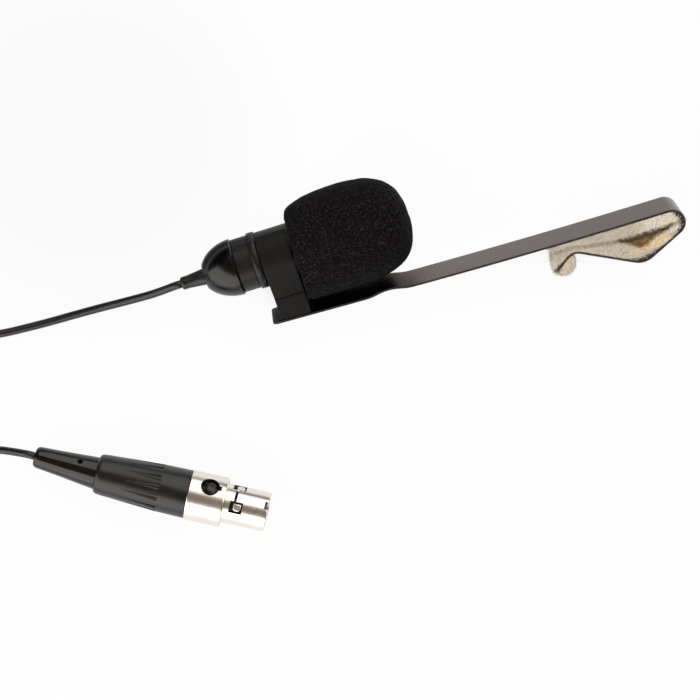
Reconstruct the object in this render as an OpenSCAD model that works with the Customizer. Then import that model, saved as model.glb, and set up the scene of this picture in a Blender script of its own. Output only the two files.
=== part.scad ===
// Clip-on instrument microphone lying on its side, with its thin cord and small round plug.
// Millimetres, +Z up. Origin under the middle of the head and its clip, on the surface it lies on.
// The head is drawn along its own X axis, with the clip arm on its -Z side, and lying() lays it down.

/* [Housing] */
// Outer diameter of the tubular housing
barrel_d = 11.9; // [11.6:0.1:12.4]
// Length of the housing tube, from the rear dome's joint to its front edge
barrel_len = 27; // [25:0.5:29]
// Wall of the housing tube
barrel_wall = 0.85; // [0.7:0.05:0.95]
// Diameter of the rear dome
dome_d = 12.66; // [12.5:0.02:12.9]
// Length of the rear dome
dome_len = 7.5; // [7.2:0.1:7.8]
// Where the dome's outline would close if it were not cut flat for the cord
dome_reach = 8.3; // [8.2:0.05:8.8]
// Wall of the rear dome
dome_wall = 1.2; // [1:0.05:1.4]
// Plain length of tube between the dome and the stop ring
rear_len = 3.5; // [3.5:0.25:4.5]
// Diameter of the stop ring
ring_d = 12.6; // [12.5:0.02:12.8]
// Width of the stop ring
ring_w = 1.7; // [1.4:0.1:1.9]
// Length of the cord relief outside the dome
relief_len = 5.4; // [4.5:0.1:6.5]
// Diameter of the cord relief at its thin end
relief_tip_d = 2.8; // [2.4:0.1:3]
// Diameter of the cord relief where it leaves the dome
relief_base_d = 3.7; // [3.3:0.1:3.9]

/* [Inside the head] */
// Diameter of the microphone capsule
capsule_d = 9.7; // [9:0.1:9.8]
// Length of the microphone capsule
capsule_len = 5; // [4:0.25:6]
// Length of the preamplifier board
board_len = 11; // [9:0.5:12]
// Thickness of the preamplifier board
board_t = 0.8; // [0.6:0.1:1.2]
// Length of the rear vent slots
vent_len = 2.4; // [2:0.1:3]
// Width of each rear vent slot
vent_w = 1.6; // [1.2:0.1:2]
// Number of rear vent slots
vent_count = 6; // [4:1:7]
// Diameter of each hole in the front cap
grille_hole_d = 1.3; // [1:0.1:1.4]

/* [Foam windscreen] */
// Greatest diameter of the foam
foam_d = 22.8; // [22:0.1:23.2]
// Overall length of the foam
foam_len = 26; // [25:0.1:27]
// How far the foam's middle lies from the housing's axis, toward the clip arm
foam_shift = 0.6; // [0:0.1:0.7]
// Space between the collar and the foam
foam_gap = 0.5; // [0.3:0.05:0.6]

/* [Collar] */
// Width of the collar along the housing
collar_w = 6.8; // [6:0.1:7]
// Wall of the collar's ring
collar_wall = 0.85; // [0.8:0.05:1.2]
// Opening of the ring, opposite the arm, in degrees
collar_gap = 80; // [60:2:90]
// How far the ring's opening is turned from straight opposite the arm, in degrees
collar_gap_turn = 13.5; // [0:0.5:15]
// Height of the collar's foot block
foot_h = 4.6; // [4:0.1:5]
// Width of the foot block, across the arm
foot_w = 8.9; // [8:0.1:9.4]
// Width of the neck where it meets the foot block
neck_w = 8.1; // [7:0.1:8.4]

/* [Clip arm] */
// Width of the spring strip
strip_w = 9.5; // [9:0.1:10]
// Thickness of the spring strip
strip_t = 0.5; // [0.4:0.05:0.6]
// Distance from the housing's axis to the middle of the strip, at the foot
strip_drop = 13.55; // [13.4:0.05:14.5]
// Angle at which the strip leans away from the housing, in degrees
strip_splay = 2.1; // [1.6:0.1:3]
// How far the strip's rear end stands out behind the foot block
strip_tab = 2; // [1.5:0.1:2.5]
// Distance from the strip's rear end to the middle of the formed hump
hump_at = 26.4; // [24:0.2:30]
// Height of the formed hump
hump_h = 0.7; // [0.4:0.1:0.8]
// Length of the formed hump
hump_len = 11; // [8:0.5:12]
// Length of the arm from its rear end to the start of the nose bend
arm_len = 89.7; // [80:0.1:100]
// Gentle bow of the arm between the hump and the nose, in degrees
arm_bow = 1.9; // [0.5:0.1:2.5]
// Radius of the nose bend, at the middle of the strip
nose_r = 2.85; // [2.7:0.05:3]
// Angle of the nose bend
nose_turn = 153.4; // [152.4:0.2:154.4]
// Straight length between the nose and the belly
back_len = 8.05; // [7.65:0.05:8.45]
// Radius of the belly bend, at the middle of the strip
belly_r = 4.35; // [4.1:0.05:4.6]
// Angle of the belly bend
belly_turn = 54.3; // [53.5:0.1:55]
// Straight length between the belly and the throat
rise_len = 12.4; // [11.9:0.1:12.6]
// Radius of the throat bend, at the middle of the strip
throat_r = 2.75; // [2.5:0.05:3]
// Angle of the throat bend
throat_turn = 63.3; // [60:0.1:66]
// Straight length of the flared tail
tail_len = 3.8; // [3.4:0.1:4.2]
// Thickness of the felt inside the hook
felt_t = 2.8; // [2.5:0.05:2.9]
// Width of the felt
felt_w = 9.3; // [8.5:0.1:9.4]
// Radius of the felt's rolled end on the tail
lobe_r = 2.75; // [2.4:0.05:2.9]
// Shank diameter of the rivet
rivet_d = 1.8; // [1.4:0.1:2.2]

/* [Plug] */
// Diameter of the metal shell
shell_d = 11.1; // [11:0.1:11.6]
// Length of the wide part of the metal shell
shell_len = 8.1; // [7.6:0.1:9]
// Diameter of the barrel that goes into the socket
plug_d = 8.7; // [8.5:0.05:8.8]
// Length of the barrel that goes into the socket
plug_len = 9.8; // [9.4:0.1:10.5]
// Inside diameter of the shell
shell_bore_d = 7.4; // [7.3:0.05:7.5]
// Length of the grip
grip_len = 20.8; // [20:0.2:22]
// Diameter of the grip at the shell
grip_d = 10.8; // [10.7:0.05:11.1]
// Diameter of the grip where the flutes begin
grip_mid_d = 9.9; // [9.8:0.1:10.4]
// Diameter of the grip at the boot
grip_back_d = 9.1; // [8.9:0.1:9.4]
// Distance from the boot end of the grip to the start of the flutes
flute_at = 8; // [7.5:0.1:9]
// Length of each flute
flute_len = 6.4; // [5.5:0.1:7]
// Width of each flute at its wide end
flute_w = 1.6; // [1.2:0.1:1.8]
// Depth of each flute
flute_deep = 0.35; // [0.25:0.05:0.4]
// Number of flutes
flute_count = 14; // [10:1:16]
// Visible length of the boot
boot_len = 14.2; // [12:0.2:18]
// Diameter of the boot at its thin end
boot_tip_d = 4.8; // [4:0.1:5.2]
// Diameter of the boot at the grip
boot_base_d = 7.2; // [7:0.1:7.5]
// Diameter of the latch button
button_d = 3.5; // [3.3:0.1:3.6]
// Diameter of the button's hole in the shell
button_hole_d = 4.2; // [4:0.1:4.4]
// Distance from the grip to the middle of the button
button_at = 4.5; // [4.2:0.1:4.8]
// Angle of each latch window from the button, in degrees
window_angle = 38; // [34:1:40]
// Length of each latch window
window_len = 2.9; // [2.7:0.1:3.1]
// Width of each latch window
window_w = 2.6; // [2.4:0.1:2.8]
// Number of contacts
contact_count = 4; // [3:1:4]
// Outer diameter of each contact socket
contact_d = 1.1; // [0.9:0.05:1.2]

/* [Cord] */
// Diameter of the cord
cord_d = 1.8; // [1.6:0.05:2]
// Mean diameter of the coil
coil_d = 19; // [18:0.5:21]
// Width of the coiled bundle
bundle_w = 9; // [8:0.1:9.5]
// Height of the coiled bundle
bundle_h = 8.1; // [7:0.1:9]
// Width of the band that ties the coil
tie_w = 6; // [4:0.5:8]

/* [Pose] */
// Roll of the clip arm up from the surface, in degrees
lie_roll = 21.7; // [20:0.1:23]
// Rise of the housing's axis toward the foam, in degrees
lie_pitch = 2.45; // [2:0.05:3]
// Heading of the plug on the surface, in degrees
plug_heading = -30.2; // [-40:0.2:-20]
// Roll of the latch button away from straight up, in degrees
button_roll = 34.5; // [24:0.5:40]
// Lean of the soft boot from the plug's axis, in degrees
boot_lean = 2.4; // [0:0.2:4]

/* [Hidden] */

// Fineness of turned pieces and of bends
$fn = 48;
bend_step = 9;
// Clearances: two pieces that slide or turn, two that only sit together, and soft faces that part
running = 0.05;
seat = 0.02;
soft_gap = 0.2;
// Small chamfer on turned edges
edge = 0.2;
eps = 0.01;

// Where the housing's rear joint lies in the frame of the whole object
head_at = [-41.9, 7.4, 10.57];

// Housing
barrel_r = barrel_d / 2;
bore_r = barrel_r - barrel_wall;
dome_r = dome_d / 2;
relief_end = -dome_len - relief_len;
relief_hole_r = relief_base_d / 2;
relief_flange_r = relief_hole_r + 0.75;
relief_flange_t = 0.7;
dome_floor = -dome_len + dome_wall + 0.7;
spigot_len = 2.5;
spigot_wall = 0.8;
crimp_len = 1.9;
crimp_wall = 0.6;
crimp_at = dome_floor + relief_flange_t;
ring_at = rear_len + edge;
ring_groove = 0.3;

// Inside the housing, from the back to the front
board_at = spigot_len + 0.3;
mesh_t = 0.25;
vent_at = board_at + board_len + 1.2;
cap_lip = 1;
cap_spigot = 1.5;
capsule_at = barrel_len - cap_spigot - mesh_t - capsule_len;
wire_d = 0.5;

// Collar and foam stations along the housing
collar_at = ring_at + ring_w + edge;
collar_bore_r = barrel_r + running;
collar_r = collar_bore_r + collar_wall;
foam_at = collar_at + collar_w + foam_gap;
foam_bore_end = barrel_len + cap_lip + 0.3;

// Strip: its middle line starts behind the foot block, in the plane of x along the arm and h outward
strip_x = collar_at - strip_tab;
strip_corner = 1.1;
hump_turn = 2 * atan(hump_h / hump_len * 2);
hump_r = hump_len / 4 / sin(hump_turn);
hump_start = hump_at - hump_len / 2;
arm_end = arm_len - hump_start - hump_len;
bow_r = arm_end / (arm_bow * PI / 180);
split_turn = 90;

// Steps of the strip: [straight length, bend radius, bend angle], bends to the left positive
arm_steps = [[hump_start, hump_r, -hump_turn], [0, hump_r, hump_turn],
             [0, hump_r, hump_turn], [0, hump_r, -hump_turn],
             [0, bow_r, -arm_bow], [0, nose_r, split_turn]];
jaw_steps = [[0, nose_r, nose_turn - split_turn], [back_len, belly_r, belly_turn],
             [rise_len, throat_r, -throat_turn], [tail_len, 1, 0]];

function heading(a) = [cos(a), sin(a)];
// Points [x, h, direction] along the steps, from a place and a direction
function walk(steps, p, a, i = 0) =
    i == len(steps) ? [[p[0], p[1], a]]
    : let (go = steps[i][0], r = steps[i][1], turn = steps[i][2],
           q = p + go * heading(a),
           side = turn < 0 ? -90 : 90,
           c = q + r * heading(a + side),
           n = max(1, ceil(abs(turn) / bend_step), ceil(abs(turn) * r / 400)))
      concat(go > 0 ? [[p[0], p[1], a]] : [],
             turn == 0 ? [] : [for (k = [0 : n - 1]) let (b = a + turn * k / n)
                               concat(c + r * heading(b - side), [b])],
             walk(steps, turn == 0 ? q : c + r * heading(a + turn - side), a + turn, i + 1));
// One face of the strip, at a distance to the left of its middle line
function face(path, side) = [for (q = path) [q[0], q[1]] + side * heading(q[2] + 90)];
function backwards(list) = [for (k = [len(list) - 1 : -1 : 0]) list[k]];
function ribbon(path, t) = concat(face(path, t / 2), backwards(face(path, -t / 2)));

arm_path = walk(arm_steps, [strip_x, 0], 0);
arm_tip = arm_path[len(arm_path) - 1];
arm_line = [for (q = arm_path) [q[0], q[1]]];
nose = arm_path[len(arm_path) - 1 - ceil(split_turn / bend_step)];
function at_nose(along, out) = [nose[0], nose[1]] + along * heading(nose[2]) + out * heading(nose[2] + 90);
// The jaw goes on from the arm's tip, across a gap as thin as a line
split_gap = 0.04;
jaw_path = walk(jaw_steps, [arm_tip[0], arm_tip[1]] + split_gap * heading(arm_tip[2]), arm_tip[2]);

// Felt: the line where its two layers part runs from the nose to the throat
slit_len = nose_r + 10;
felt_past_tail = 1.4;
felt_slant = 1.6;
lobe_shift = [1.7, -1.15];
tail_tip = jaw_path[len(jaw_path) - 1];
belly = jaw_path[ceil((nose_turn - split_turn) / bend_step) + 1 + round(belly_turn / bend_step / 2)];
throat = [for (q = jaw_path) if (q[0] < belly[0] - belly_r && abs(q[2] - 180) < bend_step * 0.6) q][0];
throat_mid = [throat[0], (throat[1] + lookup(throat[0], arm_line)) / 2];
slit_front = at_nose(0, nose_r + soft_gap);
slit_back = at_nose(-slit_len, strip_t / 2 + felt_t);
slit_low = [belly[0], belly[1] - strip_t / 2 - felt_t - 0.3];
felt_start = tail_tip[0] - felt_past_tail;
parting = [slit_back, throat_mid + [throat_r, 0.5], throat_mid, [felt_start + felt_slant, throat_mid[1] + 0.1]];

// Plug stations along its own axis, from the boot end of the grip
shell_at = grip_len;
step_at = shell_at + shell_len;
plug_end = step_at + plug_len;
shell_bore_r = shell_bore_d / 2;
grip_lip = 1;
grip_bore_r = grip_back_d / 2 - 0.6;
spigot_at = grip_len - 7.4;
spigot_r = plug_d / 2;
boot_flange_t = 1.4;
chuck_len = 7;
tail_at = grip_lip + boot_flange_t + chuck_len + 1.5;
leaf_t = 0.3;
leaf_r = shell_bore_r - soft_gap;
leaf_pivot = grip_len - 4.8;
leaf_half = 54;
flute_turn = 5;
key_turn = 11.5;
tooth_len = window_len - 1.1;
tooth_w = window_w - 0.9;
window_at = step_at + 1.35;
insert_at = step_at - 2;
insert_end = plug_end - 0.5;
contact_ring_r = 1.7;
contact_back = shell_at + 1.5;

// Where the boot end of the grip lies on the surface
grip_at = [-85.4, -26.8];
plug_z = shell_d / 2;

// Cord route: round points chosen by hand, each [x, y, z]; its ends meet the relief and the boot
mic_side_points = [[-61.5, 7.3, 7.3], [-67.5, 7.6, 5], [-73.5, 8, 3], [-79.5, 8.3, 1.7], [-85.5, 8.5, 1.1],
                   [-91.5, 8.8, 0.96], [-97.5, 9.3, 0.96], [-103.5, 10.5, 0.96], [-109.5, 12.5, 0.96],
                   [-115.5, 14.8, 0.96]];
plug_side_points = [[-121.5, -10.4, 0.96], [-115.5, -12.2, 0.96], [-109.5, -14, 1.4], [-104.5, -15.6, 3]];
coil_at = [-121.5, 3.5];

// ---------- Placing and shaping helpers ----------

// From the housing's own frame to the lying pose
module lying() translate(head_at) rotate([lie_roll - 90, -lie_pitch, 0]) children();
// The strip's own frame, leaning away from the housing
module strip_frame() translate([0, 0, -strip_drop]) rotate([0, strip_splay, 0]) children();
// From the strip's side view (x along, h outward) to the housing's frame, extruded across the arm
module across(width)
    strip_frame() rotate([-90, 0, 0]) translate([0, 0, -width / 2]) linear_extrude(width) children();
// A turned piece about the X axis; its outline is a list of [x, radius]
module turned(outline) rotate([0, 90, 0]) rotate_extrude() polygon([for (p = outline) [p[1], p[0]]]);
// A plain bar and a tube along X
module bar(x, len, r) translate([x, 0, 0]) rotate([0, 90, 0]) cylinder(h = len, r = r);
module pipe(x, len, r, bore) difference() {
    bar(x, len, r);
    bar(x - 1, len + 2, bore);
}
// From the plug's own frame (x along it, +Z at the button) to its place on the surface
module plug_line(turn = 0)
    translate([grip_at[0], grip_at[1], plug_z]) rotate([0, 0, plug_heading - turn]) children();
module plugged() plug_line() rotate([-button_roll, 0, 0]) children();
// Copies around the X axis
module around(count, start = 0) for (k = [0 : count - 1]) rotate([start + k * 360 / count, 0, 0]) children();

// ---------- Housing ----------

dome_points = [for (a = [acos(dome_len / dome_reach) : 6 : 84]) [-dome_reach * cos(a), dome_r * sin(a)]];

module rear_dome() color("#1d1c1c") lying() difference() {
    turned(concat([[-dome_len, 0]], dome_points,
                  [[-edge, dome_r], [0, dome_r - edge], [0, bore_r - seat], [spigot_len, bore_r - seat],
                   [spigot_len, 0]]));
    turned(concat([[dome_floor, 0], [dome_floor, relief_flange_r + seat]],
                  [for (p = dome_points) if (p[0] > crimp_at) [p[0], p[1] - dome_wall]],
                  [[-edge, bore_r - spigot_wall], [spigot_len + 1, bore_r - spigot_wall],
                   [spigot_len + 1, 0]]));
    bar(-dome_len - 1, dome_len, relief_hole_r);
}

module cable_relief() color("#181818") lying() difference() {
    turned([[relief_end, 0], [relief_end, relief_tip_d / 2 - edge], [relief_end + edge * 2, relief_tip_d / 2],
            [-dome_len, relief_hole_r], [dome_floor, relief_hole_r], [dome_floor, relief_flange_r],
            [crimp_at, relief_flange_r], [crimp_at, 0]]);
    bar(relief_end - 1, relief_len + dome_len + 2, cord_d / 2);
}

module cable_tail() color("#202020") lying() bar(relief_end, crimp_at + crimp_len - relief_end, cord_d / 2);

module cable_crimp() color("#b8b8b4") lying() pipe(crimp_at, crimp_len, cord_d / 2 + crimp_wall, cord_d / 2);

// Three wires from the cord's end to the board's edge
module cable_leads() color("#b03a2e") lying() {
    from = crimp_at + crimp_len;
    for (y = [-wire_d, 0, wire_d])
        translate([from, y, board_t / 2 + wire_d / 2]) rotate([0, 90, 0])
            cylinder(h = board_at + 1.2 - from, r = wire_d / 2 - seat, $fn = 16);
}

module barrel() color("#232222") lying() difference() {
    turned([[0, 0], [0, barrel_r - edge], [edge, barrel_r], [rear_len, barrel_r],
            [rear_len, barrel_r - ring_groove], [collar_at - edge / 2, barrel_r - ring_groove],
            [collar_at - edge / 2, barrel_r], [barrel_len - edge, barrel_r],
            [barrel_len, barrel_r - edge], [barrel_len, 0]]);
    bar(-1, barrel_len + 2, bore_r);
    around(vent_count, 30)
        translate([vent_at, -vent_w / 2, bore_r - 1]) cube([vent_len, vent_w, barrel_wall + 2]);
}

module stop_ring() color("#262525") lying() difference() {
    turned([[ring_at, 0], [ring_at, ring_d / 2 - edge], [ring_at + edge, ring_d / 2],
            [ring_at + ring_w - edge, ring_d / 2], [ring_at + ring_w, ring_d / 2 - edge],
            [ring_at + ring_w, 0]]);
    bar(0, barrel_len, barrel_r - ring_groove);
}

module preamp_board() color("#1f6b3a") lying()
    translate([board_at, -bore_r + 0.3, -board_t / 2]) cube([board_len, 2 * bore_r - 0.6, board_t]);

// Transistor can, capacitors and resistors seated on the board's two faces
module board_components() color("#8c7a5a") lying() {
    translate([board_at + board_len * 0.72, 0, board_t / 2]) cylinder(h = 2.4, r = 1.9);
    for (k = [0 : 2]) translate([board_at + 2.2 + k * 1.7, 1.7, board_t / 2]) cube([1, 2, 0.8]);
    for (k = [0 : 3]) translate([board_at + 1 + k * 2, -3, -board_t / 2 - 0.6]) cube([1.2, 1.8, 0.6]);
    translate([board_at + 2.6, -2.6, board_t / 2]) cylinder(h = 1.8, r = 1.3);
}

// Two wires from the board to the capsule's back
module capsule_leads() color("#c8a24a") lying() for (y = [-1.2, 1.2])
    translate([board_at + board_len - 1.2, y, board_t / 2 + wire_d / 2]) rotate([0, 90, 0])
        cylinder(h = capsule_at - board_at - board_len + 1.2, r = wire_d / 2 - seat, $fn = 16);

module capsule() color("#c9c9c6") lying() difference() {
    bar(capsule_at, capsule_len, capsule_d / 2);
    bar(capsule_at + capsule_len - 0.4, 1, capsule_d / 2 - 0.7);
    around(6) translate([0, 0, capsule_d / 4]) bar(capsule_at + capsule_len - 1.2, 2, 0.35);
    around(4, 45) translate([0, 0, capsule_d / 3]) bar(capsule_at - 1, 1.6, 0.4);
}

module capsule_gasket() color("#303030") lying()
    pipe(capsule_at, capsule_len - 0.5, bore_r, capsule_d / 2);

module rear_mesh() color("#6f6f6f") lying() pipe(vent_at - 0.5, vent_len + 1, bore_r, bore_r - mesh_t);

module grille_mesh() color("#9a9a9a") lying() bar(capsule_at + capsule_len, mesh_t, bore_r - seat);

module grille_cap() color("#232222") lying() difference() {
    turned([[barrel_len - cap_spigot, 0], [barrel_len - cap_spigot, bore_r - seat],
            [barrel_len, bore_r - seat], [barrel_len, barrel_r - edge],
            [barrel_len + cap_lip - edge * 2, barrel_r - edge],
            [barrel_len + cap_lip, barrel_r - edge * 3], [barrel_len + cap_lip, 0]]);
    bar(barrel_len - cap_spigot - 1, cap_spigot + 1, bore_r - 0.8);
    bar(barrel_len - 1, 3, grille_hole_d / 2);
    around(6) translate([0, 0, 2.1]) bar(barrel_len - 1, 3, grille_hole_d / 2);
    around(12, 15) translate([0, 0, 3.7]) bar(barrel_len - 1, 3, grille_hole_d / 2 - 0.1);
}

// ---------- Foam ----------

// Outline of the foam as shares of its length and radius, smoothed by a spline
foam_shares = [[0, 0.68], [0.03, 0.8], [0.13, 0.9], [0.3, 0.975], [0.47, 1], [0.63, 0.985], [0.78, 0.905],
               [0.89, 0.765], [0.96, 0.56], [1, 0.26]];
function spline(a, b, c, d, t) = 0.5 * (2 * b + t * (c - a) + t * t * (2 * a - 5 * b + 4 * c - d)
                                        + t * t * t * (3 * b - a - 3 * c + d));
function smooth(p, per) = let (last = len(p) - 1)
    concat([for (k = [0 : last - 1], i = [0 : per - 1])
                spline(p[max(0, k - 1)], p[k], p[k + 1], p[min(last, k + 2)], i / per)], [p[last]]);

module foam_windscreen() color("#1a1a1b") lying() difference() {
    translate([foam_at, 0, -foam_shift])
        turned(concat([[0, 0]], [for (p = smooth(foam_shares, 3)) [p[0] * foam_len, p[1] * foam_d / 2]],
                      [[foam_len, 0]]));
    bar(foam_at - 1, foam_bore_end - foam_at + 1, barrel_r + running);
}

// ---------- Collar and clip arm ----------

foot_base = strip_drop - strip_t / 2;
foot_top = foot_base - foot_h;

module holder_collar() color("#242323") lying() difference() {
    union() {
        bar(collar_at, collar_w, collar_r);
        // The neck leaves the ring without a step
        hull() {
            bar(collar_at, collar_w, collar_r - seat);
            translate([collar_at, -neck_w / 2, -foot_top - 0.4]) cube([collar_w, neck_w, 0.4]);
        }
        difference() {
            translate([collar_at, -foot_w / 2, -strip_drop - 1]) cube([collar_w, foot_w, foot_h + 1 + strip_t / 2]);
            across(foot_w + 2) translate([0, -strip_t / 2]) square([collar_at + 2 * collar_w, foot_h]);
        }
    }
    bar(collar_at - 1, collar_w + 2, collar_bore_r);
    // Opening of the ring, a wedge about the axis
    rotate([0, 90, 0]) rotate([0, 0, 180 - collar_gap_turn - collar_gap / 2])
        rotate_extrude(angle = collar_gap)
            translate([1, collar_at - 1]) square([collar_r, collar_w + 2]);
    rivet_hole();
}

rivet_x = collar_at + collar_w / 2;
rivet_deep = 3;
module rivet_hole() rivet_place() translate([0, 0, -1]) cylinder(h = rivet_deep + strip_t + 1, r = rivet_d / 2);
module rivet_place() strip_frame() translate([rivet_x, 0, -strip_t / 2]) children();

module holder_rivet() color("#5c5650") lying() rivet_place() {
    cylinder(h = rivet_deep + strip_t, r = rivet_d / 2);
    translate([0, 0, -0.25]) cylinder(h = 0.25, r = rivet_d / 2 + 0.8);
}

// The strip has rounded corners behind the foot block
module spring_strip() color("#6d645f") lying() difference() {
    intersection() {
        across(strip_w) polygon(ribbon(arm_path, strip_t));
        strip_frame() translate([0, 0, -strip_w]) linear_extrude(2 * strip_w) {
            translate([strip_x + strip_corner, -strip_w / 2]) square([arm_len + strip_w, strip_w]);
            translate([strip_x, strip_corner - strip_w / 2])
                square([2 * strip_corner, strip_w - 2 * strip_corner]);
            for (side = [-1, 1])
                translate([strip_x + strip_corner, side * (strip_w / 2 - strip_corner)]) circle(r = strip_corner);
        }
    }
    rivet_hole();
}

module spring_jaw() color("#6d645f") lying() across(strip_w) polygon(ribbon(jaw_path, strip_t));

// Upper layer: from the strip's outer face down to the parting line
module felt_upper() color("#d9cdb8") lying() across(felt_w) difference() {
    polygon(concat([[felt_start, lookup(felt_start, arm_line)]],
                   [for (q = arm_path) if (q[0] > felt_start) [q[0], q[1]]], [slit_front], parting));
    polygon(ribbon(arm_path, strip_t));
}

// Lower layer: from the jaw's inner face up to the parting line, rolled over the tail
module felt_lower() color("#dccfb9") lying() across(felt_w) difference() {
    union() {
        polygon(concat([for (q = jaw_path) [q[0], q[1]]],
                       backwards([for (q = parting) q + [0, soft_gap]]),
                       [slit_low, slit_front + [0, soft_gap / 2]]));
        translate([tail_tip[0], tail_tip[1]] + lobe_shift) circle(r = lobe_r);
    }
    polygon(ribbon(jaw_path, strip_t));
    // The rolled end stays below the upper layer
    translate([felt_start - lobe_r, throat_mid[1] + 0.1 + soft_gap - foot_h])
        square([throat[0] - felt_start + lobe_r, foot_h]);
}

// ---------- Plug ----------

// The soft boot leans outside the grip; its flange sits square inside it
module plug_boot() color("#141414") difference() {
    union() {
        plug_line(boot_lean)
            turned([[-boot_len, 0], [-boot_len, boot_tip_d / 2 - edge * 3], [-boot_len + edge * 3, boot_tip_d / 2],
                    [-edge, boot_base_d / 2], [-edge, 0]]);
        plug_line() turned([[-edge * 2, 0], [-edge * 2, boot_base_d / 2 - edge], [grip_lip, boot_base_d / 2],
                            [grip_lip, grip_bore_r - seat], [grip_lip + boot_flange_t, grip_bore_r - seat],
                            [grip_lip + boot_flange_t, 0]]);
    }
    plug_line(boot_lean) bar(-boot_len - 1, boot_len + 1, cord_d / 2);
    plug_line() bar(-edge, 8, cord_d / 2 + running);
    // Small moulding mark
    plug_line(boot_lean) rotate([-33, 0, 0]) translate([-4, 0, boot_base_d / 2 - 0.8]) cylinder(h = 2, r = 0.45);
}

module plug_grip() color("#2b2b2c") plugged() difference() {
    turned([[0, 0], [0, grip_back_d / 2 - 0.6], [0.6, grip_back_d / 2 - 0.1], [1.5, grip_back_d / 2],
            [flute_at, grip_mid_d / 2], [flute_at + flute_len, grip_d / 2 - 0.1],
            [grip_len - edge, grip_d / 2], [grip_len, grip_d / 2 - edge], [grip_len, 0]]);
    bar(-1, grip_len, boot_base_d / 2 + seat);
    bar(grip_lip, grip_len, grip_bore_r);
    bar(spigot_at, grip_len, spigot_r + seat);
    around(flute_count, flute_turn) translate([flute_at, 0, grip_mid_d / 2 - flute_deep]) rotate([0, -2.2, 0])
        linear_extrude(2) polygon([[0, 0], [flute_len * 0.55, flute_w / 2], [flute_len, flute_w / 2],
                                   [flute_len, -flute_w / 2], [flute_len * 0.55, -flute_w / 2]]);
}

module plug_cable_tail() color("#202020") {
    plug_line(boot_lean) bar(-boot_len, boot_len + edge / 2, cord_d / 2);
    plug_line() bar(-edge, tail_at + edge, cord_d / 2 - seat);
}

// Split chuck that grips the cord behind the boot
module cable_chuck() color("#3a3a3a") plugged() difference() {
    turned([[grip_lip + boot_flange_t, 0], [grip_lip + boot_flange_t, grip_bore_r - running],
            [grip_lip + boot_flange_t + chuck_len - 1, grip_bore_r - running],
            [grip_lip + boot_flange_t + chuck_len, grip_bore_r - 0.8],
            [grip_lip + boot_flange_t + chuck_len, 0]]);
    bar(0, grip_len, cord_d / 2);
    translate([grip_lip, -0.25, -6]) cube([grip_len, 0.5, 6]);
}

// Wires from the cord's end to the contacts' cups
module plug_leads() color("#b03a2e") plugged() around(contact_count, 45)
    translate([tail_at, 0, wire_d]) rotate([0, 90 - atan((contact_ring_r - wire_d) / (contact_back - tail_at)), 0])
        cylinder(h = norm([contact_back - tail_at, contact_ring_r - wire_d]), r = wire_d / 2 - seat, $fn = 16);

module window_place(side) rotate([side * window_angle, 0, 0]) children();

module plug_shell() color("#c4c2bd") plugged() difference() {
    turned([[spigot_at, 0], [spigot_at, spigot_r - edge], [spigot_at + edge, spigot_r], [shell_at, spigot_r],
            [shell_at, shell_d / 2 - edge], [shell_at + edge, shell_d / 2], [step_at - edge, shell_d / 2],
            [step_at, shell_d / 2 - edge], [step_at, plug_d / 2], [plug_end - edge * 2, plug_d / 2],
            [plug_end, plug_d / 2 - edge * 2], [plug_end, 0]]);
    bar(spigot_at - 1, plug_end, shell_bore_r);
    // Button hole with its keyhole tail
    translate([shell_at + button_at, 0, 0]) cylinder(h = shell_d, r = button_hole_d / 2);
    translate([shell_at + button_at, -0.6, 0]) cube([button_hole_d / 2 + 0.5, 1.2, shell_d]);
    // Two latch windows and the slot that joins them
    for (side = [-1, 1]) window_place(side)
        translate([window_at, -window_w / 2, 0]) cube([window_len, window_w, shell_d]);
    intersection() {
        translate([window_at + 0.75, -plug_d, 1.5]) cube([0.6, plug_d * 2, plug_d]);
        pipe(window_at, 2, plug_d, shell_bore_r - 1);
    }
    // Key slot at the tip
    rotate([key_turn, 0, 0]) translate([plug_end - 0.9, -0.9, 0]) cube([2, 1.8, shell_d]);
}

module contact_insert() color("#1b1b1b") plugged() difference() {
    bar(insert_at, insert_end - insert_at, shell_bore_r - seat);
    around(contact_count, 45) translate([0, 0, contact_ring_r]) bar(insert_at - 1, 20, contact_d / 2);
    // Room around the contacts for the latch leaf to sink
    difference() {
        translate([insert_at - 1, -plug_d / 2, 0.5])
            cube([window_at + window_len + 1.3 - insert_at, plug_d, plug_d]);
        bar(insert_at - 2, 20, contact_ring_r + contact_d / 2 + running);
    }
}

module contact_sockets() color("#c9a24a") plugged() around(contact_count, 45)
    translate([0, 0, contact_ring_r]) difference() {
        bar(contact_back, insert_end - 0.2 - contact_back, contact_d / 2);
        bar(insert_end - 5, 10, contact_d / 2 - 0.18);
        bar(contact_back - 1, 2.6, contact_d / 2 - 0.2);
    }

// Curved leaf with two teeth; its rear end is the pivot
module latch_leaf() color("#bdbbb6") plugged() difference() {
    union() {
        rotate([0, 90, 0]) rotate([0, 0, 180 - leaf_half]) rotate_extrude(angle = 2 * leaf_half)
            translate([leaf_r - leaf_t, leaf_pivot]) square([leaf_t, window_at + window_len - leaf_pivot]);
        for (side = [-1, 1]) window_place(side) intersection() {
            translate([window_at + window_len - 0.3 - tooth_len, -tooth_w / 2, leaf_r - leaf_t / 2])
                cube([tooth_len, tooth_w, 3]);
            bar(window_at, window_len, plug_d / 2 - seat);
        }
    }
    translate([shell_at + button_at, 0, 0]) cylinder(h = shell_d, r = button_peg_r);
    // Slit between the two prongs
    translate([shell_at + button_at + 4, -0.5, 0]) cube([20, 1, 6]);
}

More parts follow.
